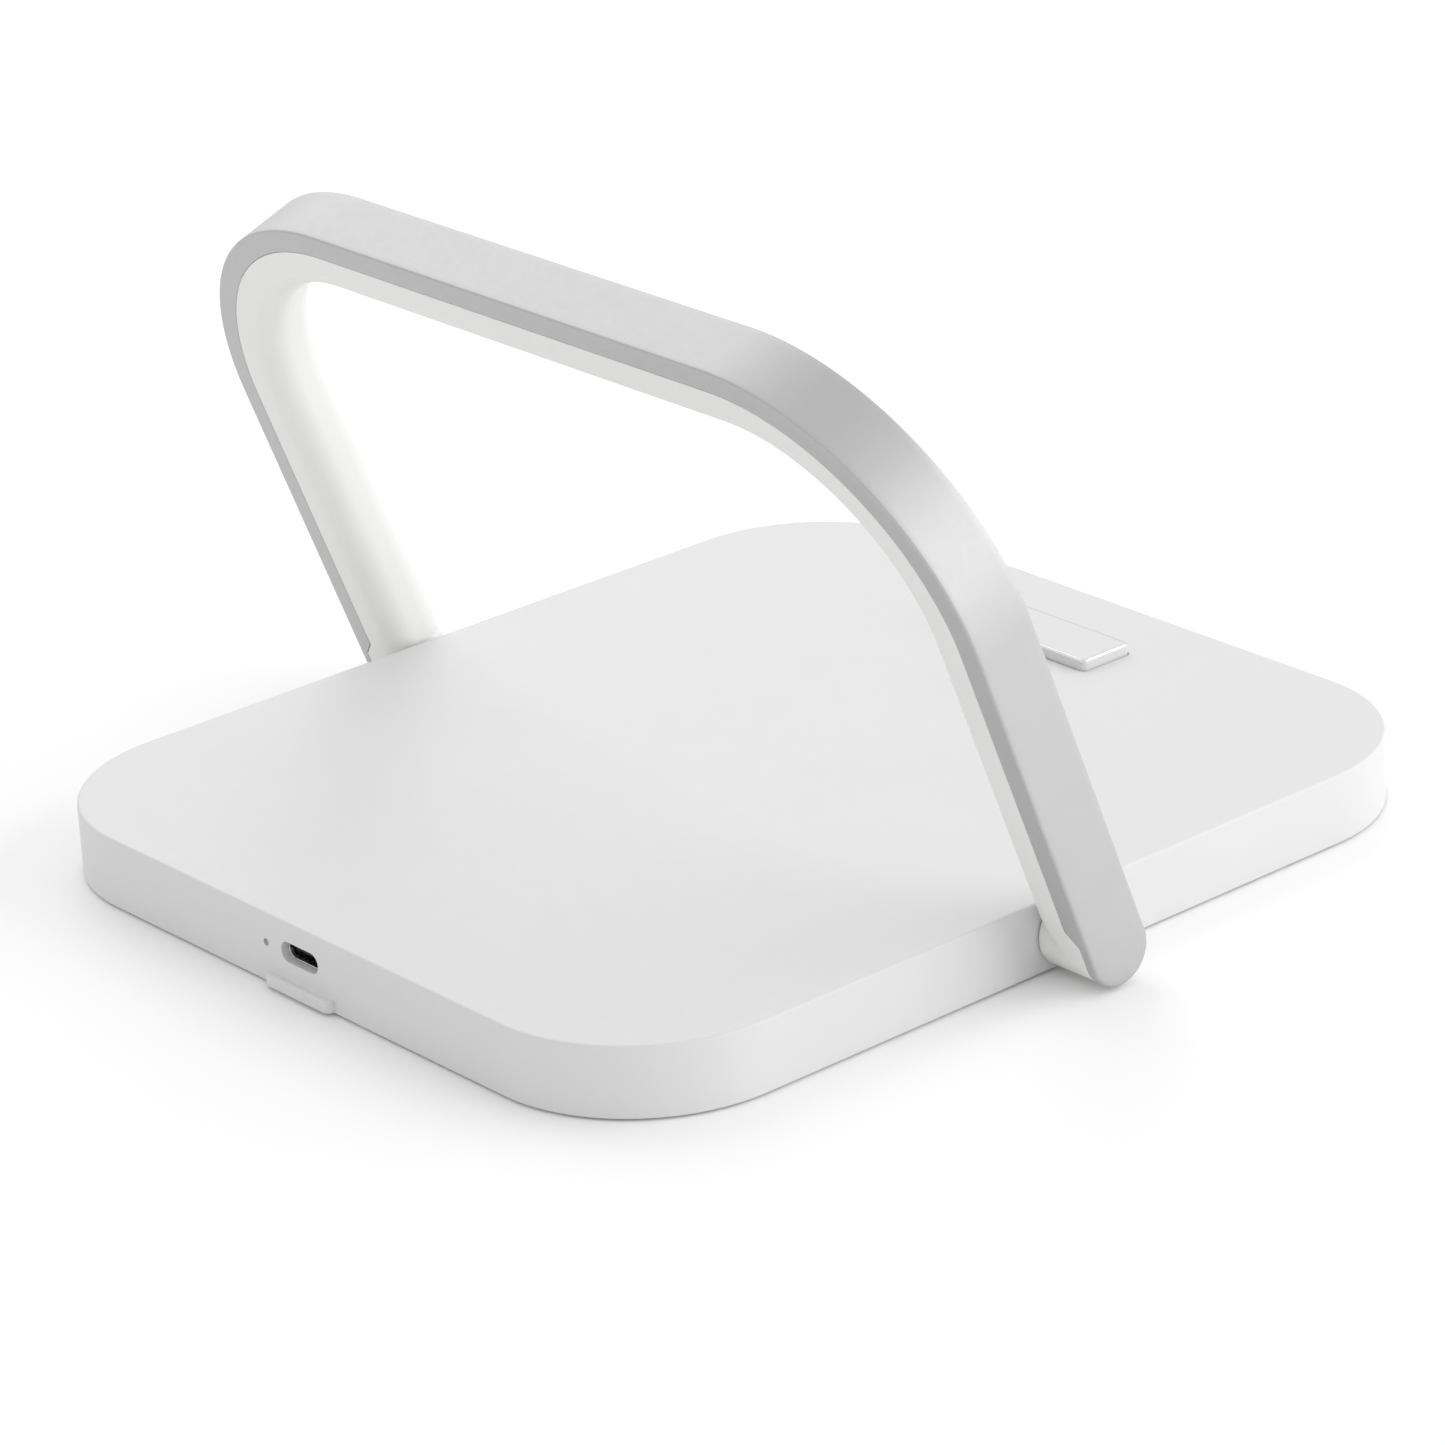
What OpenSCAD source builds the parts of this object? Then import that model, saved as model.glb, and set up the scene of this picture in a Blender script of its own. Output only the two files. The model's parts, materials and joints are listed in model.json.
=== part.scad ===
// Flat charging pad with a folding light arch, a raised push button and a socket in its front wall.
// Millimetres. X runs across the pad, along the hinge axis. The socket is in the -Y wall.
// Z = 0 is the underside of the anti-slip mat, at the middle of the pad.

/* [Pad] */
// Width of the pad, along the hinge axis
pad_w = 150; // [130:1:190]
// Length of the pad, from the socket wall to the button end
pad_l = 173; // [144:1:210]
// Thickness of the pad without the mat
pad_t = 11.6; // [11:0.1:15]
// Corner radius of the pad, seen from above
pad_corner_r = 27; // [15:1:40]
// Thickness of the side wall
wall_t = 2.0; // [1.6:0.1:2.6]
// Thickness of the charging surface
top_t = 1.6; // [1.2:0.1:2]
// Thickness of the bottom cover
cover_t = 1.6; // [1.4:0.1:2]
// Thickness of the anti-slip mat
mat_t = 1.2; // [0.8:0.1:1.6]
// How far the mat stands out of the bottom cover
mat_proud = 0.4; // [0.2:0.1:0.8]
// Distance from the edge of the pad to the edge of the mat
mat_inset = 5; // [4:0.5:12]

/* [Light arch] */
// Distance from the pad's side wall to the arch's outer face
arch_side = 12.2; // [11:0.1:16]
// Distance from the pad's end wall to the folded arch's outer face
arch_end = 14.5; // [12.5:0.5:20]
// How much lower than the pad the band is, above and below it when folded
band_inset = 0.25; // [0.1:0.05:0.8]
// Height of the channel's side lips, measured from the outer face
lip_h = 4.0; // [3.4:0.1:6]
// Thickness of the channel's outer wall and of its round ends
band_t = 1.8; // [1.2:0.1:2.2]
// Thickness of each side lip
lip_t = 1.1; // [0.8:0.1:1.6]
// How far the diffuser stands out of the channel
diffuser_d = 7.7; // [4:0.1:7.8]
// Corner radius of the diffuser's section
diffuser_r = 4.4; // [1:0.1:5]
// Wall thickness of the diffuser
diffuser_t = 1.4; // [1:0.1:1.8]
// Lean of the open arch from upright, towards the socket wall
arch_lean = 20.6; // [0:0.1:60]
// Pitch of the light-emitting chips along the strip
led_pitch = 9; // [6:0.5:15]

/* [Hinges] */
// Outer radius of the hollow hinge shafts
shaft_r = 3.0; // [2.5:0.1:3.2]
// Radius of the wire duct through a hinge shaft
shaft_bore_r = 1.6; // [1.2:0.1:1.8]
// Radius of the shaft's threaded inner end
shaft_thread_r = 2.4; // [2.2:0.1:2.4]
// Wall of the bush around the shaft
bush_wall = 0.76; // [0.5:0.02:0.9]
// Radial running clearance of the shafts
run_fit = 0.04; // [0.02:0.01:0.08]
// Gap between the pad's side wall and the hubs
hub_gap = 0.3; // [0.2:0.05:0.6]

/* [Button] */
// Length of the button, along X
button_w = 32; // [24:1:44]
// Width of the button, along Y
button_l = 10.5; // [8:0.5:14]
// How far the released button stands above the charging surface
button_h = 1.9; // [1.2:0.1:2.5]
// Travel of the button
button_travel = 0.8; // [0.5:0.1:1]
// Distance from the pad's back edge to the middle of the button
button_inset = 19.25; // [16:0.25:30]
// Corner radius of the button, seen from above
button_r = 1.0; // [0.5:0.1:3]
// Gap around the button in its opening
button_gap = 0.18; // [0.1:0.02:0.4]

/* [Socket] */
// Outer width of the metal socket shell
socket_w = 8.94; // [8.94:0.01:8.94]
// Outer height of the metal socket shell
socket_h = 3.26; // [3.26:0.01:3.26]
// Length of the metal socket shell
socket_l = 7.35; // [6.5:0.05:9]
// Height of the socket's middle above the pad's underside
socket_z = 6.6; // [6:0.1:7]
// Distance from the socket's middle to the status light
status_x = 8.3; // [7:0.1:14]
// Diameter of the status light's hole
status_d = 1.2; // [1:0.1:2]
// Width of the ledge under the socket
ledge_w = 16; // [12:0.5:24]
// How far the ledge stands out of the wall
ledge_d = 1.4; // [0.8:0.1:2.5]
// Height of the ledge
ledge_h = 2.0; // [1.4:0.1:2.4]

/* [Electronics] */
// Outer diameter of the transmitter coil
coil_d = 43; // [34:1:54]
// Inner diameter of the transmitter coil
coil_inner_d = 20.5; // [16:0.5:24]
// How far the square ferrite sheet reaches past the coil
ferrite_margin = 3.5; // [2:0.5:5]
// Length of the main board, along X
board_w = 90; // [80:1:96]
// Depth of the main board, along Y
board_l = 30; // [28:1:36]

/* [Hidden] */
$fn = 64;

eps = 0.01;
// Clearance where one fixed piece sits in or beside another
seat_gap = 0.1;
// Radial clearance of a fixed round piece in its bore
seat_fit = 0.02;

// Pad levels, from the table up
body_z = mat_proud;
cover_top = body_z + cover_t;
ceiling_z = body_z + pad_t - top_t;
top_z = body_z + pad_t;
pivot_z = body_z + pad_t / 2;
// The arch goes round either half of the pad, so its size follows from the pad's
arch_w = pad_w + 2 * arch_side;
arch_h = pad_l / 2 + arch_end;
arch_corner_r = pad_corner_r + arch_end;
band_w = pad_t - 2 * band_inset;
inner_w = pad_w - 2 * wall_t;
inner_l = pad_l - 2 * wall_t;
inner_r = pad_corner_r - wall_t;
front_y = -pad_l / 2;
front_in = front_y + wall_t;
side_x = pad_w / 2;
side_in = side_x - wall_t;

// Screws: clearance holes, pilot holes and heads
m2_r = 1.0;
m2_pilot_r = 0.85;
m2_hole_r = 1.15;
m2_head_r = 1.9;
m2_head_h = 0.9;
m2_sink = 0.15;
boss_r = 2.6;
pilot_depth = 3.4;

// Cover screws sit near the four corners and behind the hinges
screw_inset = max(mat_inset + m2_head_r + 1.2, wall_t + boss_r + 0.6);
corner_run = (pad_corner_r - screw_inset) / sqrt(2);
cover_screw_x = side_x - pad_corner_r + corner_run;
cover_screw_y = pad_l / 2 - pad_corner_r + corner_run;
side_screw_x = side_x - screw_inset;
side_screw_y = 24;
COVER_SCREWS = [for (sx = [-1, 1]) for (p = [[cover_screw_x, cover_screw_y],
                [cover_screw_x, -cover_screw_y], [side_screw_x, -side_screw_y]]) [sx * p[0], p[1]]];

// Main board behind the front wall, with the socket standing on it
board_t = 1.6;
board_top = body_z + socket_z - socket_h / 2;
board_front = front_in + 0.3;
board_back = board_front + board_l;
board_hole_x = board_w / 2 - 4;
BOARD_SCREWS = [for (sx = [-1, 1]) for (y = [board_front + 5, board_back - 4]) [sx * board_hole_x, y]];
socket_recess = 1.3;
socket_front = front_y + socket_recess;
socket_wall = 0.3;
socket_slot_gap = 0.13;
lamp_plug_x = 26;
lamp_plug_y = board_back - 6.3;

// Stack under the charging surface: coil, ferrite, heat spreader and tray
coil_t = 1.1;
ferrite_w = coil_d + 2 * ferrite_margin;
coil_top = ceiling_z - seat_gap;
ferrite_t = 1.0;
ferrite_top = coil_top - coil_t;
spreader_t = 0.8;
spreader_top = ferrite_top - ferrite_t;
tray_t = 1.2;
tray_top = spreader_top - spreader_t;
tray_rim = 1.4;
tray_w = ferrite_w + 2 * (tray_rim + seat_gap);
tray_ear = tray_w / 2 + boss_r + 0.3;
tray_ear_t = 1.4;
tray_ear_top = tray_top + 1.4;
TRAY_SCREWS = [for (sx = [-1, 1]) for (sy = [-1, 1]) [sx * tray_ear, sy * (tray_w / 2 - 5)]];
lead_r = 0.45;
lead_x = 3;
lead_low_z = board_top + lead_r + 0.02;
lead_high_z = coil_top - coil_t / 2;

// Button, its board and its springs
button_y = pad_l / 2 - button_inset;
button_top = top_z + button_h;
flange_lap = 1.6;
flange_t = 1.0;
flange_top = ceiling_z - 0.05;
flange_bottom = flange_top - flange_t;
button_board_t = 1.2;
button_board_top = flange_bottom - button_travel - 2.4;
button_boss_x = button_w / 2 + flange_lap + boss_r + 0.5;
button_board_w = 2 * (button_boss_x + boss_r);
button_board_l = 12;
spring_x = button_w / 2 - 4;
spring_r = 1.7;
spring_wire_r = 0.22;
spring_turns = 5;
dome_h = 2.5;
post_r = 1.4;

// Hinge stations along X, on the right-hand side; the left-hand side is its mirror image
hub_in = side_x + hub_gap;
channel_in = arch_w / 2 - band_t;
hub_out = channel_in - seat_gap;
shaft_out = hub_out - 1.6;
hinge_block_t = 4;
hinge_block_w = 20;
bush_r = shaft_r + run_fit + bush_wall;
bush_flange_t = 0.8;
bush_in = side_in - hinge_block_t - bush_flange_t;
bracket_out = bush_in - 1.2;
bracket_t = 5;
bracket_in = bracket_out - bracket_t;

bracket_w = 14;
bracket_ear_t = 2;
bracket_ear_y = bracket_w / 2 + boss_r + 0.4;
BRACKET_SCREWS = [for (sx = [-1, 1]) for (sy = [-1, 1])
                  [sx * (bracket_in + bracket_t / 2), sy * bracket_ear_y]];
washer_t = 0.5;
washer_count = 3;
thread_out = bracket_in - 0.05;
nut_out = thread_out - washer_count * washer_t - 0.05;
nut_t = 2.6;
shaft_in = nut_out - nut_t - 0.8;
nut_r = min(4.0, pad_t / 2 - cover_t - 0.1);

// Arch section: s is measured inwards from the outer face, w across the band
crown_in = lip_h + diffuser_d;
crown_w = band_w - 0.1;
crown_r = min(diffuser_r, diffuser_d - 0.5, crown_w / 2 - 0.4);
cavity_w = band_w - 2 * lip_t;
leg_w = cavity_w - 2 * seat_gap;
snap_t = 0.9;
lip_end = band_w * 0.4;
lip_cut_end = lip_end + 2.6;
hub_top = lip_cut_end + 1.9;
hub_leg_top = hub_top + 4;
strip_t = 0.25;
strip_w = 6;
strip_start = hub_leg_top + 1;
wire_r = 0.55;
wire_s = band_t + strip_t + wire_r;
arm_top = arch_h - arch_corner_r;
bar_half = arch_w / 2 - arch_corner_r;
chip_t = 0.7;
set_screw_r = 1.25;
set_screw_x = (hub_in + shaft_out) / 2 - 0.4;

module rounded_rect(w, l, r) {
    square([w, l - 2 * r], center = true);
    square([w - 2 * r, l], center = true);
    for (sx = [-1, 1]) for (sy = [-1, 1])
        translate([sx * (w / 2 - r), sy * (l / 2 - r)]) circle(r, $fn = 96);
}

module rounded_plate(w, l, r, z, h) {
    translate([0, 0, z]) linear_extrude(h) rounded_rect(w, l, r);
}

// A cylinder along +X from x0 to x1, on the axis through the origin
module rod_x(r, x0, x1, sides = 64) {
    translate([x0, 0, 0]) rotate([0, 90, 0]) cylinder(r = r, h = x1 - x0, $fn = sides);
}

// A cylinder along +Y from y0 to y1
module rod_y(r, y0, y1) {
    translate([0, y0, 0]) rotate([-90, 0, 0]) cylinder(r = r, h = y1 - y0);
}

// A stadium outline in XZ, pushed along +Y from y0 to y1
module stadium_y(w, h, y0, y1) {
    translate([0, y1, 0]) rotate([90, 0, 0]) linear_extrude(y1 - y0) {
        square([w - h, h], center = true);
        for (sx = [-1, 1]) translate([sx * (w - h) / 2, 0]) circle(h / 2);
    }
}

// Places a shape on the hinge axis
module on_axis() {
    translate([0, 0, pivot_z]) children();
}

// The arch's own frame: X across, Z from the hinge axis to the bar, -Y its front face
module arch_frame() {
    on_axis() rotate([arch_lean, 0, 0]) children();
}

module both_sides() {
    children();
    mirror([1, 0, 0]) children();
}

// Sweeps a section along the arch, from arm_from up over the bar to arm_from on the other arm.
// The section lies in XY: X is s, the distance in from the outer face, and Y runs across the band.
module sweep_arch(arm_from) {
    translate([0, 0, arch_h]) rotate([0, 90, 0])
        translate([0, 0, -bar_half]) linear_extrude(2 * bar_half) children();
    both_sides() {
        translate([arch_w / 2, 0, arm_from]) mirror([1, 0, 0])
            linear_extrude(arm_top - arm_from) children();
        translate([bar_half, 0, arm_top]) rotate([90, 0, 0]) rotate_extrude(angle = 90, $fn = 96)
            translate([arch_corner_r, 0]) mirror([1, 0]) children();
    }
}

function unit(v) = v / norm(v);
function tangent(points, i) = let (last = len(points) - 1)
    unit(unit(points[min(i + 1, last)] - points[min(i, last - 1)])
         + unit(points[max(i, 1)] - points[max(i - 1, 0)]));

// One wire along a list of points that never runs straight up: a ring of points at each bend
module wire(points, r, sides = 10) {
    rings = len(points);
    surface = [for (i = [0 : rings - 1]) for (k = [0 : sides - 1])
        let (t = tangent(points, i), across = unit(cross(t, [0, 0, 1])), up = cross(across, t),
             a = 360 * k / sides)
        points[i] + r * (cos(a) * across + sin(a) * up)];
    walls = [for (i = [0 : rings - 2]) for (k = [0 : sides - 1]) let (n = (k + 1) % sides)
        [i * sides + k, (i + 1) * sides + k, (i + 1) * sides + n, i * sides + n]];
    first = [for (k = [0 : sides - 1]) k];
    last = [for (k = [sides - 1 : -1 : 0]) (rings - 1) * sides + k];
    polyhedron(surface, concat(walls, [first], [last]));
}

// Pan-head screw pointing up, with its head's bearing face at z
module screw_up(p, z, run) {
    translate([p[0], p[1], z]) {
        cylinder(r = m2_r - m2_sink - seat_fit, h = run);
        difference() {
            translate([0, 0, -m2_head_h]) cylinder(r = m2_head_r, h = m2_head_h);
            for (a = [0, 90]) rotate([0, 0, a]) translate([-1, -0.2, -m2_head_h - eps]) cube([2, 0.4, 0.5]);
        }
    }
}

// A boss that hangs from the ceiling down to z, with a blind pilot hole in its end
module boss(p, z) {
    translate([p[0], p[1], z]) cylinder(r = boss_r, h = ceiling_z - z + eps);
}

module pilot(p, z) {
    translate([p[0], p[1], z - eps]) cylinder(r = m2_pilot_r, h = min(pilot_depth, top_z - 0.6 - z) + eps);
}

// Top and side walls in one shell, with the bosses and the hinge blocks inside
module upper_housing() {
    board_bosses = [for (p = BOARD_SCREWS) [p, board_top]];
    tray_bosses = [for (p = TRAY_SCREWS) [p, tray_ear_top]];
    bracket_bosses = [for (p = BRACKET_SCREWS) [p, pivot_z + bracket_ear_t / 2]];
    button_bosses = [for (sx = [-1, 1]) [[sx * button_boss_x, button_y], button_board_top]];
    cover_bosses = [for (p = COVER_SCREWS) [p, cover_top]];
    all_bosses = concat(board_bosses, tray_bosses, bracket_bosses, button_bosses, cover_bosses);
    color("white") difference() {
        union() {
            difference() {
                rounded_plate(pad_w, pad_l, pad_corner_r, body_z, pad_t);
                rounded_plate(inner_w, inner_l, inner_r, body_z - eps, pad_t - top_t + eps);
            }
            for (b = all_bosses) boss(b[0], b[1]);
            both_sides() translate([side_in - hinge_block_t, -hinge_block_w / 2, cover_top + seat_gap])
                cube([hinge_block_t + eps, hinge_block_w, ceiling_z - cover_top - seat_gap + eps]);
            port_ledge();
        }
        for (b = all_bosses) pilot(b[0], b[1]);
        translate([0, 0, body_z + socket_z])
            stadium_y(socket_w + 2 * socket_slot_gap, socket_h + 2 * socket_slot_gap,
                      front_y - 1, front_in + 1);
        translate([-status_x, 0, body_z + socket_z]) rod_y(status_d / 2, front_y - 1, front_in + 1);
        translate([0, button_y, 0])
            rounded_plate(button_w + 2 * button_gap, button_l + 2 * button_gap, button_r + button_gap,
                          ceiling_z - eps, top_t + 1);
        both_sides() on_axis() rod_x(bush_r + seat_fit, side_in - hinge_block_t - 1, side_x + 1);
    }
}

// Small rounded ledge under the socket
module port_ledge() {
    ledge_r = min(1.3, ledge_d);
    translate([0, front_y - ledge_d, body_z + 0.2]) linear_extrude(ledge_h) {
        translate([-ledge_w / 2 + ledge_r, 0]) square([ledge_w - 2 * ledge_r, ledge_d + wall_t / 2]);
        translate([-ledge_w / 2, ledge_r]) square([ledge_w, ledge_d - ledge_r + wall_t / 2]);
        for (sx = [-1, 1]) translate([sx * (ledge_w / 2 - ledge_r), ledge_r]) circle(ledge_r);
    }
}

// Bottom plate that closes the housing, with a shallow recess for the mat
module bottom_cover() {
    color("gainsboro") difference() {
        rounded_plate(inner_w - 2 * seat_gap, inner_l - 2 * seat_gap, inner_r - seat_gap, body_z, cover_t);
        rounded_plate(pad_w - 2 * mat_inset + 2 * seat_gap, pad_l - 2 * mat_inset + 2 * seat_gap,
                      pad_corner_r - mat_inset + seat_gap, body_z - eps, mat_t - mat_proud + eps);
        for (p = COVER_SCREWS) translate([p[0], p[1], body_z - 1]) {
            cylinder(r = m2_hole_r, h = cover_t + 2);
        }
    }
}

// One anti-slip sheet under the pad, which covers the screws
module anti_slip_mat() {
    color("darkgray") difference() {
        rounded_plate(pad_w - 2 * mat_inset, pad_l - 2 * mat_inset, pad_corner_r - mat_inset, 0, mat_t);
        for (p = COVER_SCREWS) translate([p[0], p[1], mat_t - 0.5]) cylinder(r = m2_head_r + 0.2, h = 1);
    }
}

// Wafer-head screws that hold the cover, let into the mat's upper face
module cover_screws() {
    color("silver") for (p = COVER_SCREWS) translate([p[0], p[1], 0]) {
        translate([0, 0, mat_t - 0.42]) cylinder(r = m2_head_r, h = 0.42);
        translate([0, 0, mat_t - 0.42])
            cylinder(r = m2_r - m2_sink - seat_fit, h = cover_t + pilot_depth - 0.6);
    }
}

// Circuit board behind the socket
module main_board() {
    color("darkgreen") difference() {
        translate([-board_w / 2, board_front, board_top - board_t]) cube([board_w, board_l, board_t]);
        for (p = BOARD_SCREWS) translate([p[0], p[1], board_top - board_t - 1])
            cylinder(r = m2_hole_r, h = board_t + 2);
    }
}

module board_screws() {
    color("silver") for (p = BOARD_SCREWS) screw_up(p, board_top - board_t, board_t + pilot_depth - 0.4);
}

// Drawn metal shell of the socket, open to the front
module socket_shell() {
    color("silver") translate([0, 0, body_z + socket_z]) difference() {
        stadium_y(socket_w, socket_h, socket_front, socket_front + socket_l);
        stadium_y(socket_w - 2 * socket_wall, socket_h - 2 * socket_wall, socket_front - 1,
                  socket_front + socket_l - 1);
    }
}

module socket_tongue() {
    tongue_w = socket_w - 2.25;
    color("black") translate([0, 0, body_z + socket_z]) {
        translate([-tongue_w / 2, socket_front + 0.8, -0.35]) cube([tongue_w, socket_l - 2.6, 0.7]);
        stadium_y(socket_w - 2 * socket_wall - 0.1, socket_h - 2 * socket_wall - 0.1,
                  socket_front + socket_l - 2.0, socket_front + socket_l - 1.05);
    }
}

module socket_contacts() {
    pitch = 0.5;
    color("gold") for (i = [-5.5 : 5.5]) for (sz = [-1, 1])
        translate([i * pitch - 0.125, socket_front + 1.3, body_z + socket_z + sz * 0.39 - 0.04])
            cube([0.25, 3.2, 0.08]);
}

module status_led() {
    color("ivory") translate([-status_x - 0.8, front_in + 1.2, board_top + 0.01]) cube([1.6, 0.8, 0.7]);
}

// Clear rod in the status hole, with a foot over the light-emitting chip
module status_light_pipe() {
    rod_r = status_d / 2 - 0.04;
    foot_z = board_top + 0.76;
    color("white", 0.6) translate([-status_x, 0, 0]) {
        translate([0, 0, body_z + socket_z]) rod_y(rod_r, front_y + 0.1, front_in + 1.7);
        translate([-0.8, front_in + 1.0, foot_z]) cube([1.6, 1.2, body_z + socket_z + 0.7 - foot_z]);
    }
}

// A row of packages on the board: each is [x, y, w, l, h], with y counted from the board's front edge
module packages(list) {
    for (p = list) translate([p[0] - p[2] / 2, board_front + p[1] - p[3] / 2, board_top + 0.01])
        cube([p[2], p[3], p[4]]);
}

module controller_chips() {
    color("dimgray") packages([[-14, 16, 7, 7, 0.9], [14, 15, 5, 5, 0.8], [-27, 20, 5, 4, 1.5]]);
}

module power_inductors() {
    color("gray") for (sx = [-1, 1]) translate([sx * 31, board_front + 10, board_top + 0.01]) {
        linear_extrude(0.6) rounded_rect(7, 7, 1);
        cylinder(r = 3, h = 3.0);
        translate([0, 0, 2.2]) linear_extrude(0.8) rounded_rect(7, 7, 1);
    }
}

module board_capacitors() {
    color("tan") packages([for (i = [0 : 5]) [-20 + i * 3, 24, 1.6, 3.2, 1.6]]);
    color("tan") packages([for (i = [0 : 3]) [9 + i * 3, 24, 1.6, 3.2, 1.6]]);
}

module lamp_connector() {
    color("ivory") translate([lamp_plug_x, lamp_plug_y, board_top + 0.01]) difference() {
        translate([-3, -2.5, 0]) cube([6, 5, 4]);
        translate([-2.4, -1.2, 0.6]) cube([4.8, 4.8, 2.8]);
    }
}

// Open tray that holds the coil stack up against the charging surface
module coil_tray() {
    floor_z = tray_top - tray_t;
    rim_top = coil_top - 0.2;
    color("dimgray") difference() {
        union() {
            rounded_plate(tray_w, tray_w, 3, floor_z, rim_top - floor_z);
            for (p = TRAY_SCREWS) translate([0, 0, tray_ear_top - tray_ear_t]) {
                translate([p[0], p[1], 0]) cylinder(r = boss_r, h = tray_ear_t);
                translate([min(p[0], sign(p[0]) * (tray_w / 2 - 1)), p[1] - boss_r, 0])
                    cube([abs(p[0]) - tray_w / 2 + 1, 2 * boss_r, tray_ear_t]);
            }
        }
        rounded_plate(ferrite_w + 2 * seat_gap, ferrite_w + 2 * seat_gap, 1.6, tray_top, 20);
        for (sx = [-1, 1]) for (sy = [-1, 1]) translate([sx * 12.5, sy * 12.5, 0])
            rounded_plate(19, 19, 3, floor_z - 1, tray_t + 2);
        for (p = TRAY_SCREWS) translate([p[0], p[1], tray_ear_top - tray_ear_t - 1])
            cylinder(r = m2_hole_r, h = tray_ear_t + 2);
        translate([-lead_x - 1, -tray_w / 2 - 1, lead_high_z - lead_r - 0.1]) cube([2 * lead_x + 2, 4, 5]);
    }
}

module coil_tray_screws() {
    run = min(pilot_depth, ceiling_z - tray_ear_top) + tray_ear_t - 0.4;
    color("silver") for (p = TRAY_SCREWS) screw_up(p, tray_ear_top - tray_ear_t, run);
}

module heat_spreader() {
    color("silver") rounded_plate(ferrite_w, ferrite_w, 1.5, tray_top, spreader_t);
}

module ferrite_sheet() {
    color("black") rounded_plate(ferrite_w, ferrite_w, 1.5, spreader_top, ferrite_t);
}

// Flat winding: one ring of wire for each turn
module transmitter_coil() {
    turns = floor((coil_d - coil_inner_d) / 2 / coil_t);
    pitch = (coil_d - coil_inner_d) / 2 / turns;
    color("peru") translate([0, 0, coil_top - coil_t / 2]) rotate_extrude($fn = 96)
        for (i = [0 : turns - 1]) {
            translate([coil_inner_d / 2 + (i + 0.5) * pitch, 0]) circle(coil_t / 2, $fn = 24);
            if (i > 0) translate([coil_inner_d / 2 + (i - 0.5) * pitch, -coil_t / 4])
                square([pitch, coil_t / 2]);
        }
}

module coil_leads() {
    start_y = -coil_d / 2 + 0.1;
    color("brown") for (sx = [-1, 1]) wire([[sx * lead_x, start_y, lead_high_z],
        [sx * lead_x, -tray_w / 2 - 2, lead_high_z], [sx * lead_x, -tray_w / 2 - 8, lead_low_z],
        [sx * lead_x, board_back - 2.4, lead_low_z]], lead_r);
}

module button_board() {
    color("darkgreen") difference() {
        translate([-button_board_w / 2, button_y - button_board_l / 2, button_board_top - button_board_t])
            cube([button_board_w, button_board_l, button_board_t]);
        for (sx = [-1, 1]) translate([sx * button_boss_x, button_y, button_board_top - button_board_t - 1])
            cylinder(r = m2_hole_r, h = button_board_t + 2);
    }
}

module button_board_screws() {
    color("silver") for (sx = [-1, 1])
        screw_up([sx * button_boss_x, button_y], button_board_top - button_board_t,
                 button_board_t + pilot_depth - 0.4);
}

// Silicone dome that closes the switch contact under the button
module switch_dome() {
    color("lightgray") translate([0, button_y, button_board_top + 0.01]) rotate_extrude()
        polygon([[2.6, 0], [4, 0], [4, 0.6], [3.4, 0.6], [1.6, 2.0], [1.6, dome_h], [0, dome_h],
                 [0, 1.2], [1.1, 1.2], [2.6, 0.3]]);
}

// Coil spring standing at z0, h high over its wire
module spring(r, wire, z0, h, turns, sides = 6, steps = 14) {
    rings = turns * steps;
    points = [for (i = [0 : rings]) for (k = [0 : sides - 1])
        let (a = 360 * i / steps, b = 360 * k / sides, rr = r + wire * cos(b),
             z = z0 + wire + (h - 2 * wire) * i / rings + wire * sin(b)) [rr * cos(a), rr * sin(a), z]];
    walls = [for (i = [0 : rings - 1]) for (k = [0 : sides - 1]) let (n = (k + 1) % sides)
        [i * sides + k, (i + 1) * sides + k, (i + 1) * sides + n, i * sides + n]];
    first = [for (k = [0 : sides - 1]) k];
    last = [for (k = [sides - 1 : -1 : 0]) rings * sides + k];
    polyhedron(points, concat(walls, [first], [last]));
}

module button_springs() {
    color("silver") for (sx = [-1, 1]) translate([sx * spring_x, button_y, 0])
        spring(spring_r, spring_wire_r, button_board_top + 0.02, flange_bottom - button_board_top - 0.04,
               spring_turns);
}

// Push button with a flange that keeps it in its opening
module button_cap() {
    color("white") translate([0, button_y, 0]) {
        rounded_plate(button_w, button_l, button_r, flange_top - eps, button_top - flange_top + eps);
        rounded_plate(button_w + 2 * flange_lap, button_l + 2 * flange_lap - 0.6, button_r + 0.5,
                      flange_bottom, flange_t);
        translate([0, 0, button_board_top + dome_h + 0.06])
            cylinder(r = post_r, h = flange_bottom - button_board_top - dome_h);
    }
}

// Steel block on the right that carries the shaft and takes the friction of the washers
module hinge_bracket_right() {
    bracket_run = 2 * (min(ceiling_z - pivot_z, pivot_z - cover_top) - 0.3);
    color("slategray") on_axis() difference() {
        union() {
            translate([bracket_in, -bracket_w / 2, -bracket_run / 2])
                cube([bracket_t, bracket_w, bracket_run]);
            for (sy = [-1, 1])
                translate([bracket_in + bracket_t / 2, sy * bracket_ear_y, -bracket_ear_t / 2]) {
                cylinder(r = boss_r, h = bracket_ear_t);
                translate([-bracket_t / 2, min(0, -sy * (boss_r + 1)), 0])
                    cube([bracket_t, boss_r + 1, bracket_ear_t]);
            }
        }
        rod_x(shaft_r + run_fit, bracket_in - 1, bracket_out + 1);
        for (sy = [-1, 1]) translate([bracket_in + bracket_t / 2, sy * bracket_ear_y, -bracket_ear_t])
            cylinder(r = m2_hole_r, h = 2 * bracket_ear_t);
    }
}

module hinge_bracket_left() {
    mirror([1, 0, 0]) hinge_bracket_right();
}

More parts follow.
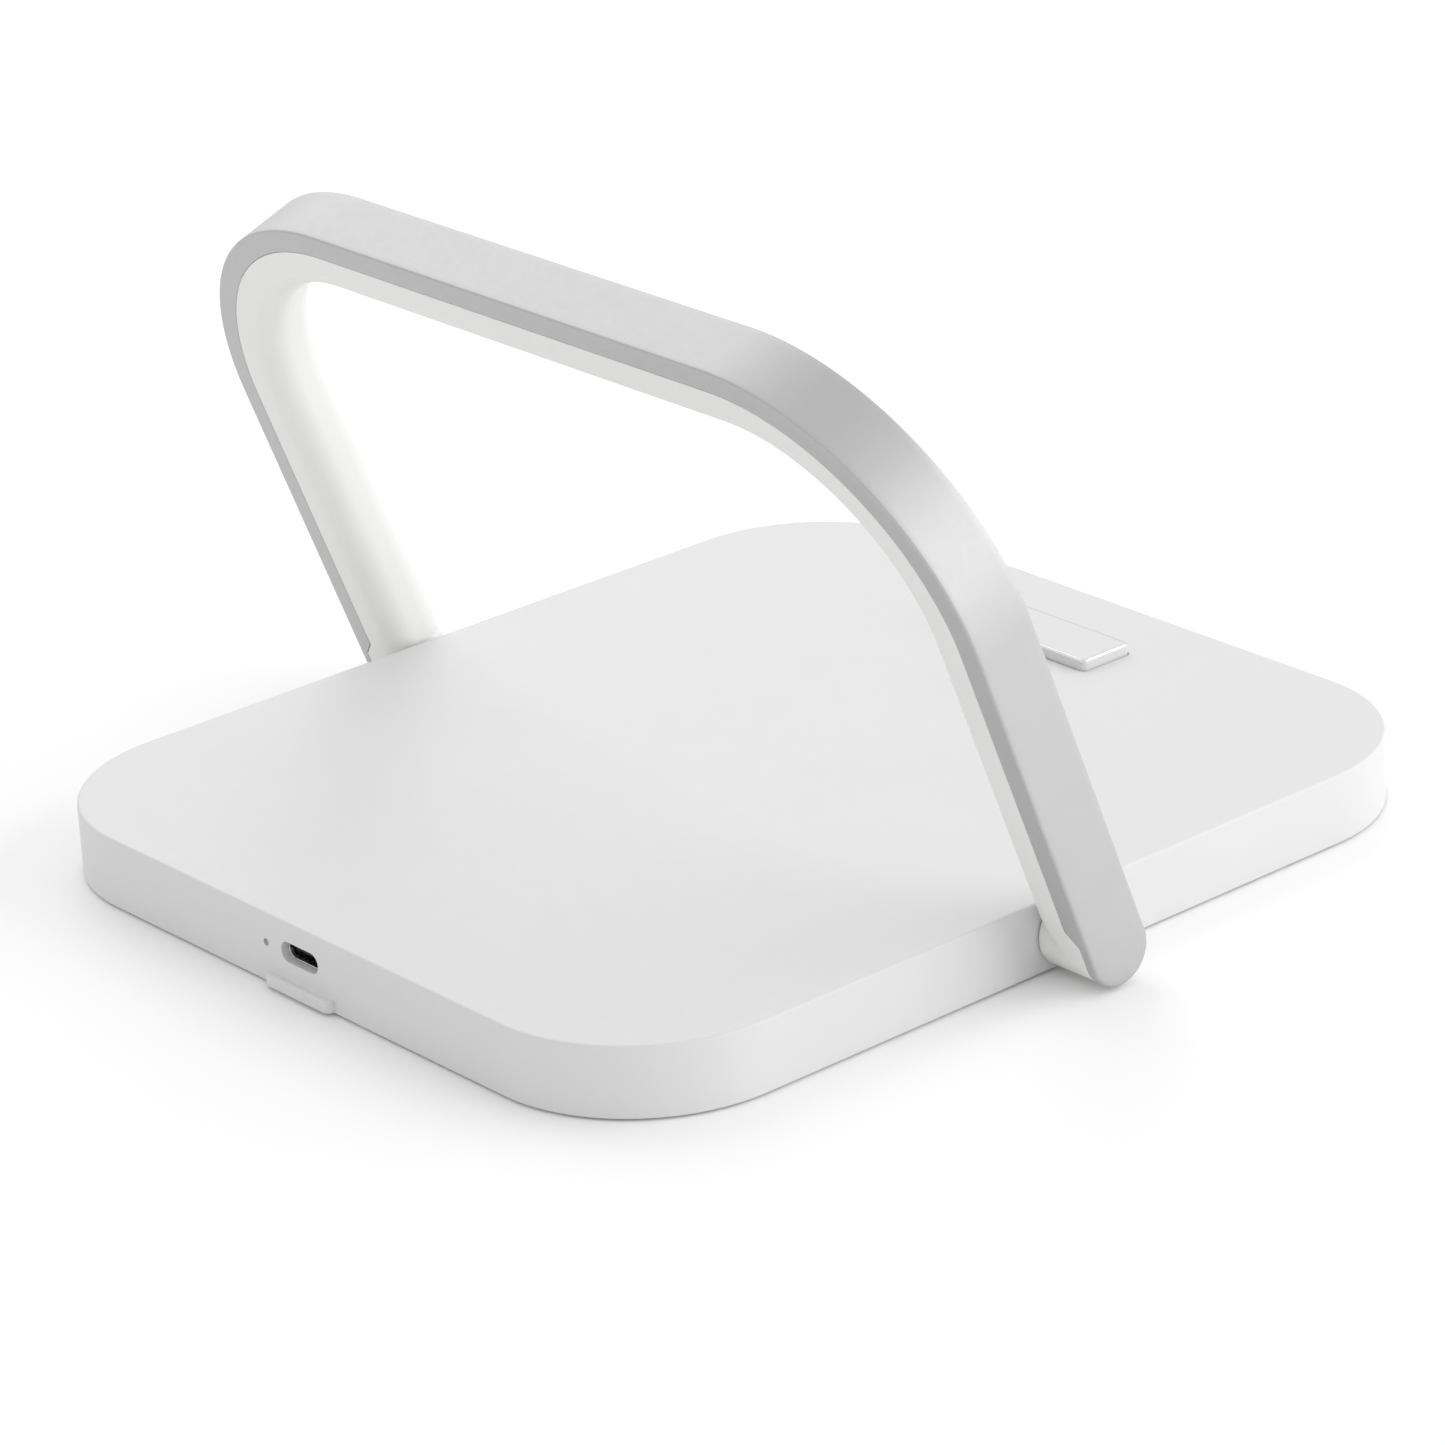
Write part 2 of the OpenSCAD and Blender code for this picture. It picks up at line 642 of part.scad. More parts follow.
module bracket_screws() {
    run = bracket_ear_t + min(pilot_depth, ceiling_z - pivot_z - 1) - 0.4;
    color("silver") for (p = BRACKET_SCREWS) screw_up(p, pivot_z - bracket_ear_t / 2, run);
}

// Flanged acetal bush that the shaft turns in, through the side wall
module hinge_bush_right() {
    color("whitesmoke") on_axis() difference() {
        union() {
            rod_x(bush_r, bush_in, side_x);
            rod_x(min(bush_r + 0.6, pivot_z - cover_top - 0.1), bush_in, bush_in + bush_flange_t);
        }
        rod_x(shaft_r + run_fit, bush_in - 1, side_x + 1);
    }
}

module hinge_bush_left() {
    mirror([1, 0, 0]) hinge_bush_right();
}

// Dark washers in the joint between the side walls and the hubs
module hub_washers() {
    color("gray") both_sides() on_axis() difference() {
        rod_x(band_w / 2 - 0.7, side_x, hub_in - 0.05);
        rod_x(shaft_r + 0.1, side_x - 1, hub_in + 1);
    }
}

// Hollow shaft: fixed in the hub, running in the bush and the bracket, threaded at its inner end
module hinge_shaft_right() {
    color("silver") on_axis() difference() {
        union() {
            rod_x(shaft_r, bracket_in + 0.5, shaft_out);
            rod_x(shaft_thread_r, shaft_in, bracket_in + 1);
        }
        rod_x(shaft_bore_r, shaft_in - 1, shaft_out + 1);
    }
}

module hinge_shaft_left() {
    mirror([1, 0, 0]) hinge_shaft_right();
}

module friction_washers() {
    color("goldenrod") both_sides() on_axis() for (i = [0 : washer_count - 1]) difference() {
        rod_x(nut_r - 0.1, thread_out - (i + 1) * washer_t + 0.02, thread_out - i * washer_t);
        rod_x(shaft_thread_r + 0.05, shaft_in, side_x);
    }
}

module hinge_nuts() {
    color("silver") both_sides() on_axis() difference() {
        rod_x(nut_r, nut_out - nut_t, nut_out, sides = 6);
        rod_x(shaft_thread_r + seat_fit, nut_out - nut_t - 1, nut_out + 1);
    }
}

// Solid outline of the diffuser's section
module crown_outline(from_s) {
    intersection() {
        translate([from_s, -crown_w / 2]) square([crown_in - from_s, crown_w]);
        union() {
            translate([0, -crown_w / 2]) square([crown_in - crown_r, crown_w]);
            translate([0, -crown_w / 2 + crown_r]) square([crown_in, crown_w - 2 * crown_r]);
            for (sy = [-1, 1]) translate([crown_in - crown_r, sy * (crown_w / 2 - crown_r)]) circle(crown_r);
        }
    }
}

module diffuser_section() {
    inner_half = crown_w / 2 - diffuser_t;
    corner = max(0.4, crown_r - diffuser_t);
    difference() {
        crown_outline(lip_h + 0.05);
        translate([lip_h - 1, -inner_half])
            square([crown_in - diffuser_t - corner - lip_h + 1, 2 * inner_half]);
        translate([lip_h - 1, -inner_half + corner])
            square([crown_in - diffuser_t - lip_h + 1, 2 * (inner_half - corner)]);
        for (sy = [-1, 1]) translate([crown_in - diffuser_t - corner, sy * (inner_half - corner)])
            circle(corner);
    }
    for (sy = [-1, 1]) translate([band_t + strip_t + 0.2, sy * (leg_w - snap_t) / 2 - snap_t / 2])
        square([lip_h - band_t - strip_t + 0.4, snap_t]);
}

module channel_section() {
    difference() {
        translate([0, -band_w / 2]) square([lip_h, band_w]);
        translate([band_t, -cavity_w / 2]) square([lip_h, cavity_w]);
    }
}

// Bent aluminium channel, with round ends and lips that are cut off aslant above the hubs
module arch_channel() {
    color("lightgray") arch_frame() {
        sweep_arch(lip_cut_end) channel_section();
        both_sides() {
            translate([arch_w / 2 - band_t, 0, 0]) rotate([90, 0, 90]) linear_extrude(band_t) {
                circle(band_w / 2);
                translate([-band_w / 2, 0]) square([band_w, lip_cut_end]);
            }
            for (sy = [-1, 1]) translate([arch_w / 2, sy * (band_w - lip_t) / 2 + lip_t / 2, 0])
                rotate([90, 0, 0]) linear_extrude(lip_t)
                    polygon([[-band_t, lip_end], [-lip_h, lip_cut_end], [-band_t, lip_cut_end]]);
        }
    }
}

// Translucent diffuser, hollow over the light strip and snapped in between the lips
module diffuser() {
    color("white", 0.9) arch_frame() sweep_arch(hub_top + seat_gap) diffuser_section();
}

// Thin flexible circuit on the floor of the channel
module led_strip() {
    color("ivory") arch_frame() sweep_arch(strip_start)
        translate([band_t, -strip_w / 2]) square([strip_t, strip_w]);
}

module led_chip() {
    translate([-1.4, -1.75, -chip_t]) cube([2.8, 3.5, chip_t]);
}

module led_chips() {
    chip_s = band_t + strip_t + 0.04;
    arm_from = strip_start + 5;
    arm_count = floor((arm_top - arm_from) / led_pitch);
    corner_count = floor(PI / 2 * (arch_corner_r - chip_s) / led_pitch);
    bar_count = floor(2 * bar_half / led_pitch);
    color("yellow") arch_frame() {
        for (i = [0 : bar_count - 1])
            translate([(i - (bar_count - 1) / 2) * led_pitch, 0, arch_h - chip_s]) led_chip();
        both_sides() {
            for (i = [0 : arm_count]) translate([arch_w / 2 - chip_s, 0, arm_from + i * led_pitch])
                rotate([0, 90, 0]) led_chip();
            for (i = [1 : corner_count - 1]) translate([bar_half, 0, arm_top])
                rotate([0, 90 * i / corner_count, 0]) translate([0, 0, arch_corner_r - chip_s]) led_chip();
        }
    }
}

// White hub at the foot of an arm: it holds the shaft and fills the foot of the channel
module hinge_hub_right() {
    leg_half = leg_w / 2 - snap_t - 0.15;
    shoulder = band_w / 2 - leg_half;
    color("white") arch_frame() difference() {
        union() {
            rod_x(crown_w / 2, hub_in, hub_out);
            translate([arch_w / 2, 0, 0]) mirror([1, 0, 0]) linear_extrude(hub_top)
                crown_outline(band_t + seat_gap);
            translate([arch_w / 2 - lip_h + 0.3, -leg_half, 0])
                cube([hub_out - arch_w / 2 + lip_h - 0.3, 2 * leg_half, hub_leg_top]);
        }
        for (sy = [-1, 1]) translate([arch_w / 2, sy * (band_w / 2 + leg_half) / 2 + shoulder / 2, 0])
            rotate([90, 0, 0]) linear_extrude(shoulder) polygon([[0, lip_end - seat_gap],
                [-band_t, lip_end - seat_gap], [-lip_h - seat_gap, lip_cut_end - seat_gap],
                [-lip_h - seat_gap, hub_leg_top + 1], [0, hub_leg_top + 1]]);
        rod_x(shaft_r + seat_fit, hub_in - 1, shaft_out + seat_fit);
        rod_x(shaft_bore_r, shaft_out - 1, hub_out + 1);
        translate([arch_w / 2 - wire_s - wire_r - 0.1, -wire_r - 0.2, 0])
            cube([lip_h, 2 * wire_r + 0.4, hub_leg_top + 1]);
        translate([set_screw_x, 0, 0]) cylinder(r = set_screw_r + seat_fit, h = hub_top + 1);
    }
}

module hinge_hub_left() {
    mirror([1, 0, 0]) hinge_hub_right();
}

// Grub screws that lock the shafts in the hubs; the ends of the diffuser cover them
module hub_set_screws() {
    socket_r = 0.75;
    screw_from = shaft_r + 0.03;
    color("dimgray") arch_frame() both_sides() translate([set_screw_x, 0, 0]) difference() {
        translate([0, 0, screw_from]) cylinder(r = set_screw_r, h = 4);
        translate([0, 0, screw_from + 2.6]) cylinder(r = socket_r, h = 2, $fn = 6);
    }
}

// Two-core wire from the end of the strip down through the right-hand shaft
module lamp_wires_arch() {
    turn_x = arch_w / 2 - wire_s - 0.02;
    color("white") arch_frame() {
        rod_x(wire_r, shaft_in, turn_x);
        translate([turn_x, 0, 0]) sphere(wire_r);
        translate([turn_x, 0, 0]) cylinder(r = wire_r, h = strip_start + 2);
    }
}

// The same wire from the mouth of the shaft to the connector on the main board
module lamp_wires_pad() {
    plug_z = board_top + 2;
    mouth_x = shaft_in - 0.05;
    color("white") wire([[mouth_x, 0, pivot_z], [mouth_x - 7, 0, pivot_z], [mouth_x - 12, -8, pivot_z],
        [lamp_plug_x + 5, board_back + 6, plug_z], [lamp_plug_x, lamp_plug_y + 6, plug_z],
        [lamp_plug_x, lamp_plug_y - 1, plug_z]], wire_r);
}

upper_housing();
bottom_cover();
anti_slip_mat();
cover_screws();
main_board();
board_screws();
socket_shell();
socket_tongue();
socket_contacts();
status_led();
status_light_pipe();
controller_chips();
power_inductors();
board_capacitors();
lamp_connector();
coil_tray();
coil_tray_screws();
heat_spreader();
ferrite_sheet();
transmitter_coil();
coil_leads();
button_board();
button_board_screws();
switch_dome();
button_springs();
button_cap();
hinge_bracket_left();
hinge_bracket_right();
bracket_screws();
hinge_bush_left();
hinge_bush_right();
hub_washers();
hinge_shaft_left();
hinge_shaft_right();
friction_washers();
hinge_nuts();
hinge_hub_left();
hinge_hub_right();
hub_set_screws();
arch_channel();
led_strip();
led_chips();
diffuser();
lamp_wires_arch();
lamp_wires_pad();
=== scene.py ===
import json
import math

import bpy
import numpy as np
from mathutils import Matrix, Vector
from mathutils.geometry import delaunay_2d_cdt


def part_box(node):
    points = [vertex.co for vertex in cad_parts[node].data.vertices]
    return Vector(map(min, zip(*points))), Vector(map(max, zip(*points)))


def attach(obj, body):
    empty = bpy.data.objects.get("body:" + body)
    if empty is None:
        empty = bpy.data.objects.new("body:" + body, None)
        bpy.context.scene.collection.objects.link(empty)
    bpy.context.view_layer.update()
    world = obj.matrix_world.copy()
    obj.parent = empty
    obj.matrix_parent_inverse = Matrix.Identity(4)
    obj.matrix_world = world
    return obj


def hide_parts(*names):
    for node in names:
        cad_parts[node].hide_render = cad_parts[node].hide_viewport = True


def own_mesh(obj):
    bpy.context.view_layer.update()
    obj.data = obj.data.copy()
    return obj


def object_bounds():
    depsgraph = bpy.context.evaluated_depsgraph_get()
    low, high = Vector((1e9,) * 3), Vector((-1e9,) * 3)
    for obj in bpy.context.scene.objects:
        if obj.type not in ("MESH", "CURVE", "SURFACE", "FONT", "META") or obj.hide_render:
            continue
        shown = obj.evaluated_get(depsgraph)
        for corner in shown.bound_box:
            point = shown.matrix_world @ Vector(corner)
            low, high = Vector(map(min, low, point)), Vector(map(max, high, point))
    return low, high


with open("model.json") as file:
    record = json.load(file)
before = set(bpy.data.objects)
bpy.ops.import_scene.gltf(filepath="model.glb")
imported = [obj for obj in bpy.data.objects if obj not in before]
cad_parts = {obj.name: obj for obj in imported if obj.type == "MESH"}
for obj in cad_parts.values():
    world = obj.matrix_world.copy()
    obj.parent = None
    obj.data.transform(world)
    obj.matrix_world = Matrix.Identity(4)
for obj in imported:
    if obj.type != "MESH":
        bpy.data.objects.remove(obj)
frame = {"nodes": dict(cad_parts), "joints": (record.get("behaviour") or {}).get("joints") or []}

bl_info = {
    "name": "Charging pad with light arch",
    "version": (1, 0, 0),
    "blender": (4, 5, 0),
    "location": "View3D > Sidebar > Charging pad",
    "description": "Builds the visible surfaces and finishes of a charging pad with a folding light arch",
    "category": "Object",
}

MM = 0.001
CAD_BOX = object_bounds()
# Points closer than this become one, and lengths that differ by less are equal
WELD = 1e-6
# Keeps round sizes away from the borders of the welding cells
CELL_SHIFT = 0.2371
HAIR = 1e-9


# ---------------------------------------------------------------- what the frame says

def node_points(*names):
    """Vertices of CAD nodes at rest, as one array of rows."""
    rows = []
    for name in names:
        mesh = frame["nodes"][name].data
        flat = np.empty(len(mesh.vertices) * 3, np.float32)
        mesh.vertices.foreach_get("co", flat)
        rows.append(flat.reshape(-1, 3).astype(float))
    return np.vstack(rows)


def node_box(name):
    """Lowest and highest corner of a CAD node as two arrays."""
    low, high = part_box(name)
    return np.array(low), np.array(high)


JOINTS = {joint["name"]: joint for joint in frame["joints"]}
HINGE = np.array(JOINTS["arch_fold"]["pos_m"], float)


def arch_lean():
    """Angle of the arch from upright: the direction from the hinge axis to the rail's farthest points."""
    rail = node_points("arch_channel") - HINGE
    reach = np.hypot(rail[:, 1], rail[:, 2])
    far = rail[reach > reach.max() - 0.1 * MM]
    return math.atan2(-far[:, 1].mean(), far[:, 2].mean())


LEAN = arch_lean()


def to_arch(points):
    """Points in the arch's own frame: u along the hinge axis, w across the band, v up the arms."""
    p = points - HINGE
    c, s = math.cos(LEAN), math.sin(LEAN)
    return np.stack([p[:, 0], p[:, 1] * c + p[:, 2] * s, p[:, 2] * c - p[:, 1] * s], 1)


def from_arch(u, w, v):
    """Coordinates in the arch's frame back in the shared one: a turn by the lean about the hinge axis."""
    c, s = math.cos(LEAN), math.sin(LEAN)
    return np.stack(np.broadcast_arrays(u, w * c - v * s, w * s + v * c), -1) + HINGE


RAIL = to_arch(node_points("arch_channel"))
CROWN = to_arch(node_points("diffuser"))
PAD_LOW, PAD_HIGH = node_box("upper_housing")
PAD_L, PAD_W = 2 * PAD_HIGH[1], 2 * PAD_HIGH[0]
ARCH_W = 2 * RAIL[:, 0].max()
ARCH_H = RAIL[:, 2].max()
BAND_W = 2 * RAIL[:, 1].max()
CROWN_W = 2 * CROWN[:, 1].max()
CROWN_FOOT = CROWN[:, 2].min()
CROWN_IN = ARCH_W / 2 - np.abs(CROWN[CROWN[:, 2] < ARCH_H / 2][:, 0]).min()


# ---------------------------------------------------------------- sizes and colours a user may change

def linear(code):
    """Linear colour of an sRGB hex value."""
    value = np.array([int(code[i : i + 2], 16) for i in (1, 3, 5)]) / 255
    value = np.where(value <= 0.04045, value / 12.92, ((value + 0.055) / 1.055) ** 2.4)
    return tuple(float(v) for v in value)


def length(name, text, millimetres):
    """A length property in metres, with its default given in millimetres."""
    return bpy.props.FloatProperty(name=name, description=text, default=millimetres * MM,
                                   min=0, precision=5, unit="LENGTH", subtype="DISTANCE")


def colour(name, text, code):
    """A colour property with its default given as sRGB hex."""
    return bpy.props.FloatVectorProperty(name=name, description=text, default=linear(code),
                                         size=3, min=0, max=1, subtype="COLOR")


class PadShape(bpy.types.PropertyGroup):
    """Sizes of the pad's shell and its openings"""

    corner: length("Corner radius", "Radius of the pad's corners, seen from above", 27)
    wall: length("Wall", "Thickness of the side wall", 2.0)
    top: length("Top", "Thickness of the charging surface", 1.6)
    edge: length("Top edge radius", "Round along the pad's upper edge", 0.45)
    rim: length("Lower edge radius", "Round along the pad's lower edge", 0.12)
    lip: length("Opening edge radius", "Round along the edges of the openings", 0.15)
    fine_lip: length("Small opening edge radius", "Round along the edges of the socket's and button's openings", 0.06)
    slot_gap: length("Socket gap", "Gap between the socket shell and its opening", 0.05)
    status: length("Status hole", "Diameter of the status light's hole", 1.2)
    ledge_w: length("Ledge width", "Width of the ledge under the socket", 16)
    ledge_low: length("Ledge underside", "Height of the ledge's underside above the pad's", 0.2)
    ledge_h: length("Ledge height", "Height of the ledge", 2.0)
    ledge_corner: length("Ledge corner radius", "Radius of the ledge's ends, seen from above", 1.3)
    ledge_blend: length("Ledge blend", "Radius of the blend from the ledge into the wall", 0.5)
    button_corner: length("Button opening corner", "Corner radius of the button's opening", 1.18)
    button_gap: length("Button gap", "Gap around the button", 0.24)


class ArchShape(bpy.types.PropertyGroup):
    """Sizes of the arch's rail, diffuser and hubs"""

    corner: length("Arch corner radius", "Outer corner radius of the arch", 41.5)
    wall: length("Rail wall", "Thickness of the aluminium rail's outer wall", 1.8)
    lip: length("Lip height", "Height of the rail's side lips", 4.0)
    lip_wall: length("Lip wall", "Thickness of a side lip", 1.1)
    lip_from: length("Lip start", "Where the slanting end of the lips starts, above the axis", 4.44)
    lip_to: length("Lip end", "Where the lips reach their full height, above the axis", 7.04)
    edge: length("Rail edge radius", "Round along the rail's outer edges", 0.4)
    crown_corner: length("Diffuser corner radius", "Corner radius of the diffuser's section", 4.4)
    crown_wall: length("Diffuser wall", "Wall thickness of the diffuser", 1.4)
    blend: length("Hub blend", "Radius of the blend from the hub into the diffuser", 0.9)
    foot_from: length("Foot start", "Height above the axis where the hub starts to narrow", 8.5)
    foot_length: length("Foot length", "Height over which the hub narrows", 6.0)
    foot_depth: length("Foot depth", "How much shallower the hub gets", 0.5)
    foot_corner: length("Foot corner", "How much the hub's corner radius grows", 1.0)
    bore: length("Hub bore", "Radius of the hub's bore for the shaft", 3.02)


class ButtonShape(bpy.types.PropertyGroup):
    """Sizes of the button, its return springs and its cut edge"""

    corner: length("Button corner radius", "Corner radius of the button, seen from above", 1.0)
    chamfer: length("Polished chamfer", "Width of the polished chamfer round the button's top", 0.3)
    spring_wire: length("Spring wire", "Thickness of the return springs' wire", 0.44)
    spring_turns: bpy.props.IntProperty(name="Spring turns", description="Turns of each return spring",
                                        default=5, min=2)
    groove: length("Groove", "Width of the fine groove between the chamfer and the coated face", 0.14)
    groove_depth: length("Groove depth", "Depth of that groove", 0.09)


class Finishes(bpy.types.PropertyGroup):
    """Colours of the parts that show"""

    housing: colour("Housing", "Moulded plastic of the pad", "#D9D9D9")
    hub: colour("Hubs", "Moulded plastic of the hubs", "#E6E6E5")
    diffuser: colour("Diffuser", "Opal plastic of the diffuser", "#E7E7E6")
    rail: colour("Rail", "Anodised aluminium of the rail", "#C3C3C3")
    button: colour("Button", "Coated face of the button", "#D8D8D8")
    mat: colour("Mat", "Silicone of the anti-slip mat", "#B9BABB")


class Studio(bpy.types.PropertyGroup):
    """Floor, lights and camera"""

    floor: colour("Floor", "Colour of the plain floor", "#FBFBFB")
    world: bpy.props.FloatProperty(name="Surround", description="Brightness of the white surround",
                                   default=0.79, min=0)
    left_light: bpy.props.FloatProperty(name="Left softbox", description="Power of the softbox on the left",
                                        default=4.6, min=0, unit="POWER")
    right_light: bpy.props.FloatProperty(name="Right softbox", description="Power of the softbox on the right",
                                         default=7.5, min=0, unit="POWER")
    focal: bpy.props.FloatProperty(name="Focal length", description="Focal length on a 36 mm sensor",
                                   default=149.53, min=1, unit="CAMERA")


# ---------------------------------------------------------------- shapes as whole arrays

def rounded_rect(w, l, r, arc=16, across=(), along=()):
    """Outline of a rectangle with round corners, anticlockwise from the front edge's left end.
    Each station is an anchor, a unit direction and the radius r: the point at inset d is anchor + (r - d) * direction.
    across and along are extra stations on the front and back edges and on the side edges."""
    hw, hl = w / 2 - r, l / 2 - r
    xs = np.unique(np.r_[-hw, np.clip(across, -hw, hw), hw])
    ys = np.unique(np.r_[-hl, np.clip(along, -hl, hl), hl])
    turn = np.linspace(0, math.pi / 2, arc + 1)[1:-1]
    anchors, ways = [], []
    sides = [(np.stack([xs, np.full_like(xs, -hl)], 1), -math.pi / 2),
             (np.stack([np.full_like(ys, hw), ys], 1), 0),
             (np.stack([xs[::-1], np.full_like(xs, hl)], 1), math.pi / 2),
             (np.stack([np.full_like(ys, -hw), ys[::-1]], 1), math.pi)]
    for edge, angle in sides:
        anchors.append(edge)
        ways.append(np.full(len(edge), angle))
        anchors.append(np.repeat(edge[-1:], len(turn), 0))
        ways.append(angle + turn)
    ways = np.concatenate(ways)
    return np.vstack(anchors), np.stack([np.cos(ways), np.sin(ways)], 1), r


def stadium(w, h, half=20):
    """Outline of a slot with round ends: two anchors and a full turn of directions."""
    turn = np.linspace(-math.pi / 2, math.pi / 2, half + 1)
    ways = np.r_[turn, turn + math.pi]
    anchors = np.zeros((len(ways), 2))
    anchors[:, 0] = np.where(np.arange(len(ways)) <= half, 1, -1) * (w - h) / 2
    return anchors, np.stack([np.cos(ways), np.sin(ways)], 1), h / 2


def circle(r, count=48):
    """Outline of a circle: one anchor and a full turn of directions."""
    ways = np.arange(count) / count * 2 * math.pi
    return np.zeros((count, 2)), np.stack([np.cos(ways), np.sin(ways)], 1), r


def ring(outline, inset):
    """Points of an outline at an inset: anchor + (radius - inset) * direction."""
    anchors, ways, r = outline
    return anchors + (r - inset) * ways


def arc_rows(start, end, centre, count):
    """Profile points on a quarter circle about centre from start to end, both included."""
    a, b, c = (np.array(p, float) for p in (start, end, centre))
    t = np.linspace(0, math.pi / 2, count + 1)[:, None]
    return c + (a - c) * np.cos(t) + (b - c) * np.sin(t)


# Where (a, b) in a plane at level h lies, by the axis that the plane stands across
PLANES = {"z": lambda a, b, h: (a, b, h), "y": lambda a, b, h: (a, h, b), "x": lambda a, b, h: (h, a, b)}


def carry(outline, profile, plane, centre):
    """A profile carried round an outline: the point for row (inset, level) and a station is the outline at that
    inset, at that level along the plane's normal. Returns an array of rows by stations by 3."""
    rows = np.array([ring(outline, inset) for inset, _ in profile])
    level = np.array([height for _, height in profile])[:, None]
    a, b = rows[..., 0] + centre[0], rows[..., 1] + centre[1]
    return np.stack(np.broadcast_arrays(*PLANES[plane](a, b, level)), -1)


def grid_part(points, flip=False, leave_out=()):
    """Four-sided faces between neighbouring rows and stations of a grid, round whose last station the first follows.
    leave_out lists blocks of (row, row, station, station) that stay open."""
    index = np.arange(points.shape[0] * points.shape[1]).reshape(points.shape[:2])
    beside = np.roll(index, -1, 1)
    quads = np.stack([index[:-1], beside[:-1], beside[1:], index[1:]], -1)
    keep = np.ones(quads.shape[:2], bool)
    for r0, r1, c0, c1 in leave_out:
        keep[r0:r1, c0:c1] = False
    quads = quads[keep]
    return points.reshape(-1, 3), quads[:, ::-1] if flip else quads


def fan_part(loop, flip=False):
    """Triangles from a closed loop to the mean of its points."""
    first = np.arange(len(loop))
    tris = np.stack([first, np.roll(first, -1), np.full_like(first, len(loop))], 1)
    return np.vstack([loop, loop.mean(0)]), tris[:, ::-1] if flip else tris


def inside(points, loop):
    """Even-odd test of many points against one loop: counts the loop's edges that a ray along the first axis
    crosses. A level edge crosses none, so its run may be anything but nought."""
    a, b = loop, np.roll(loop, -1, 0)
    py, px = points[:, 1:2], points[:, 0:1]
    crosses = (a[:, 1] > py) != (b[:, 1] > py)
    slope = (b[:, 0] - a[:, 0]) / np.where(b[:, 1] == a[:, 1], 1, b[:, 1] - a[:, 1])
    return (crosses & (px < a[:, 0] + (py - a[:, 1]) * slope)).sum(1) % 2 == 1


def flat_part(outer, holes, axes, sign):
    """A flat face with holes: triangles between the loops, less those outside the outer loop or in a hole.
    axes are the two coordinates that span the plane; sign is the wanted sign of their right-handed normal."""
    loops = [outer, *holes]
    points = np.vstack(loops)
    flat = points[:, axes]
    edges, start = [], 0
    for loop in loops:
        n = np.arange(len(loop))
        edges += zip((start + n).tolist(), (start + np.roll(n, -1)).tolist())
        start += len(loop)
    # The triangles are found in millimetres, where points a ten-millionth apart are one
    found = delaunay_2d_cdt([Vector(p) for p in (flat * (1 / MM)).tolist()], edges, [], 0, 1e-7)
    source = np.array([ids[0] for ids in found[3]])
    tris = source[np.array(found[2])]
    middle = flat[tris].mean(1)
    keep = inside(middle, outer[:, axes])
    for hole in holes:
        keep &= ~inside(middle, hole[:, axes])
    tris = tris[keep]
    a, b, c = (flat[tris[:, i]] for i in range(3))
    area = (b[:, 0] - a[:, 0]) * (c[:, 1] - a[:, 1]) - (b[:, 1] - a[:, 1]) * (c[:, 0] - a[:, 0])
    wrong = area * sign < 0
    tris[wrong] = tris[wrong][:, ::-1]
    least_area = 1e-14
    return points, tris[np.abs(area) > least_area]


def weld(parts):
    """Joins parts into one mesh: points within a micrometre become one, and repeated corners go from the faces.
    Returns the points, blocks of faces with equally many corners, and the number of the part of each face."""
    points = np.vstack([part_points for part_points, _ in parts])
    cells = np.floor(points / WELD + CELL_SHIFT).astype(np.int64)
    _, first, same = np.unique(cells, axis=0, return_index=True, return_inverse=True)
    same = same.ravel()
    faces, owners, start = [], [], 0
    for number, (part_points, block) in enumerate(parts):
        block = same[block + start]
        start += len(part_points)
        repeated = block == np.roll(block, -1, 1)
        corners = (~repeated).sum(1)
        for count in range(3, block.shape[1] + 1):
            chosen = corners == count
            if chosen.any():
                faces.append(block[chosen][~repeated[chosen]].reshape(-1, count))
                owners.append(np.full(len(faces[-1]), number))
    return points[first], faces, np.concatenate(owners)


def make_piece(name, parts, body, node, slots, sharp=35, paint=None):
    """Puts welded parts into a mesh object that rides on a CAD body and stands for a CAD node. slots are its finishes,
    its own one first, and paint gives each part's finish by number. Edges past sharp degrees stay sharp."""
    points, faces, owners = weld(parts)
    listed = [face for block in faces for face in block.tolist()]
    mesh = bpy.data.meshes.new(name)
    mesh.from_pydata(points.tolist(), [], listed)
    mesh.polygons.foreach_set("use_smooth", np.ones(len(listed), bool))
    for slot in slots:
        mesh.materials.append(finish(slot))
    if paint:
        mesh.polygons.foreach_set("material_index", np.array(paint)[owners].astype(np.int32))
    mesh.update()
    mesh.set_sharp_from_angle(angle=math.radians(sharp))
    obj = bpy.data.objects.new(name, mesh)
    bpy.context.scene.collection.objects.link(obj)
    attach(obj, body)
    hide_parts(node)
    return obj


# ---------------------------------------------------------------- finishes

def add_node(tree, kind, values=(), **links):
    """Adds a node, sets its properties and its unlinked inputs, and links inputs given by name."""
    node = tree.nodes.new(kind)
    for key, value in dict(values).items():
        if key in node.inputs:
            node.inputs[key].default_value = value
        else:
            setattr(node, key, value)
    for key, source in links.items():
        tree.links.new(node.inputs[key.replace("_", " ")], source)
    return node


def start_material(name, base, metallic, roughness, ior):
    """A new material with one principled shader, whose plain values sit on its own sockets."""
    material = bpy.data.materials.new(name)
    material.use_nodes = True
    tree = material.node_tree
    tree.nodes.clear()
    shader = add_node(tree, "ShaderNodeBsdfPrincipled", {
        "Base Color": (*base, 1), "Metallic": metallic, "Roughness": roughness, "IOR": ior})
    output = add_node(tree, "ShaderNodeOutputMaterial")
    tree.links.new(output.inputs["Surface"], shader.outputs["BSDF"])
    material.diffuse_color = (*base, 1)
    return material, tree, shader


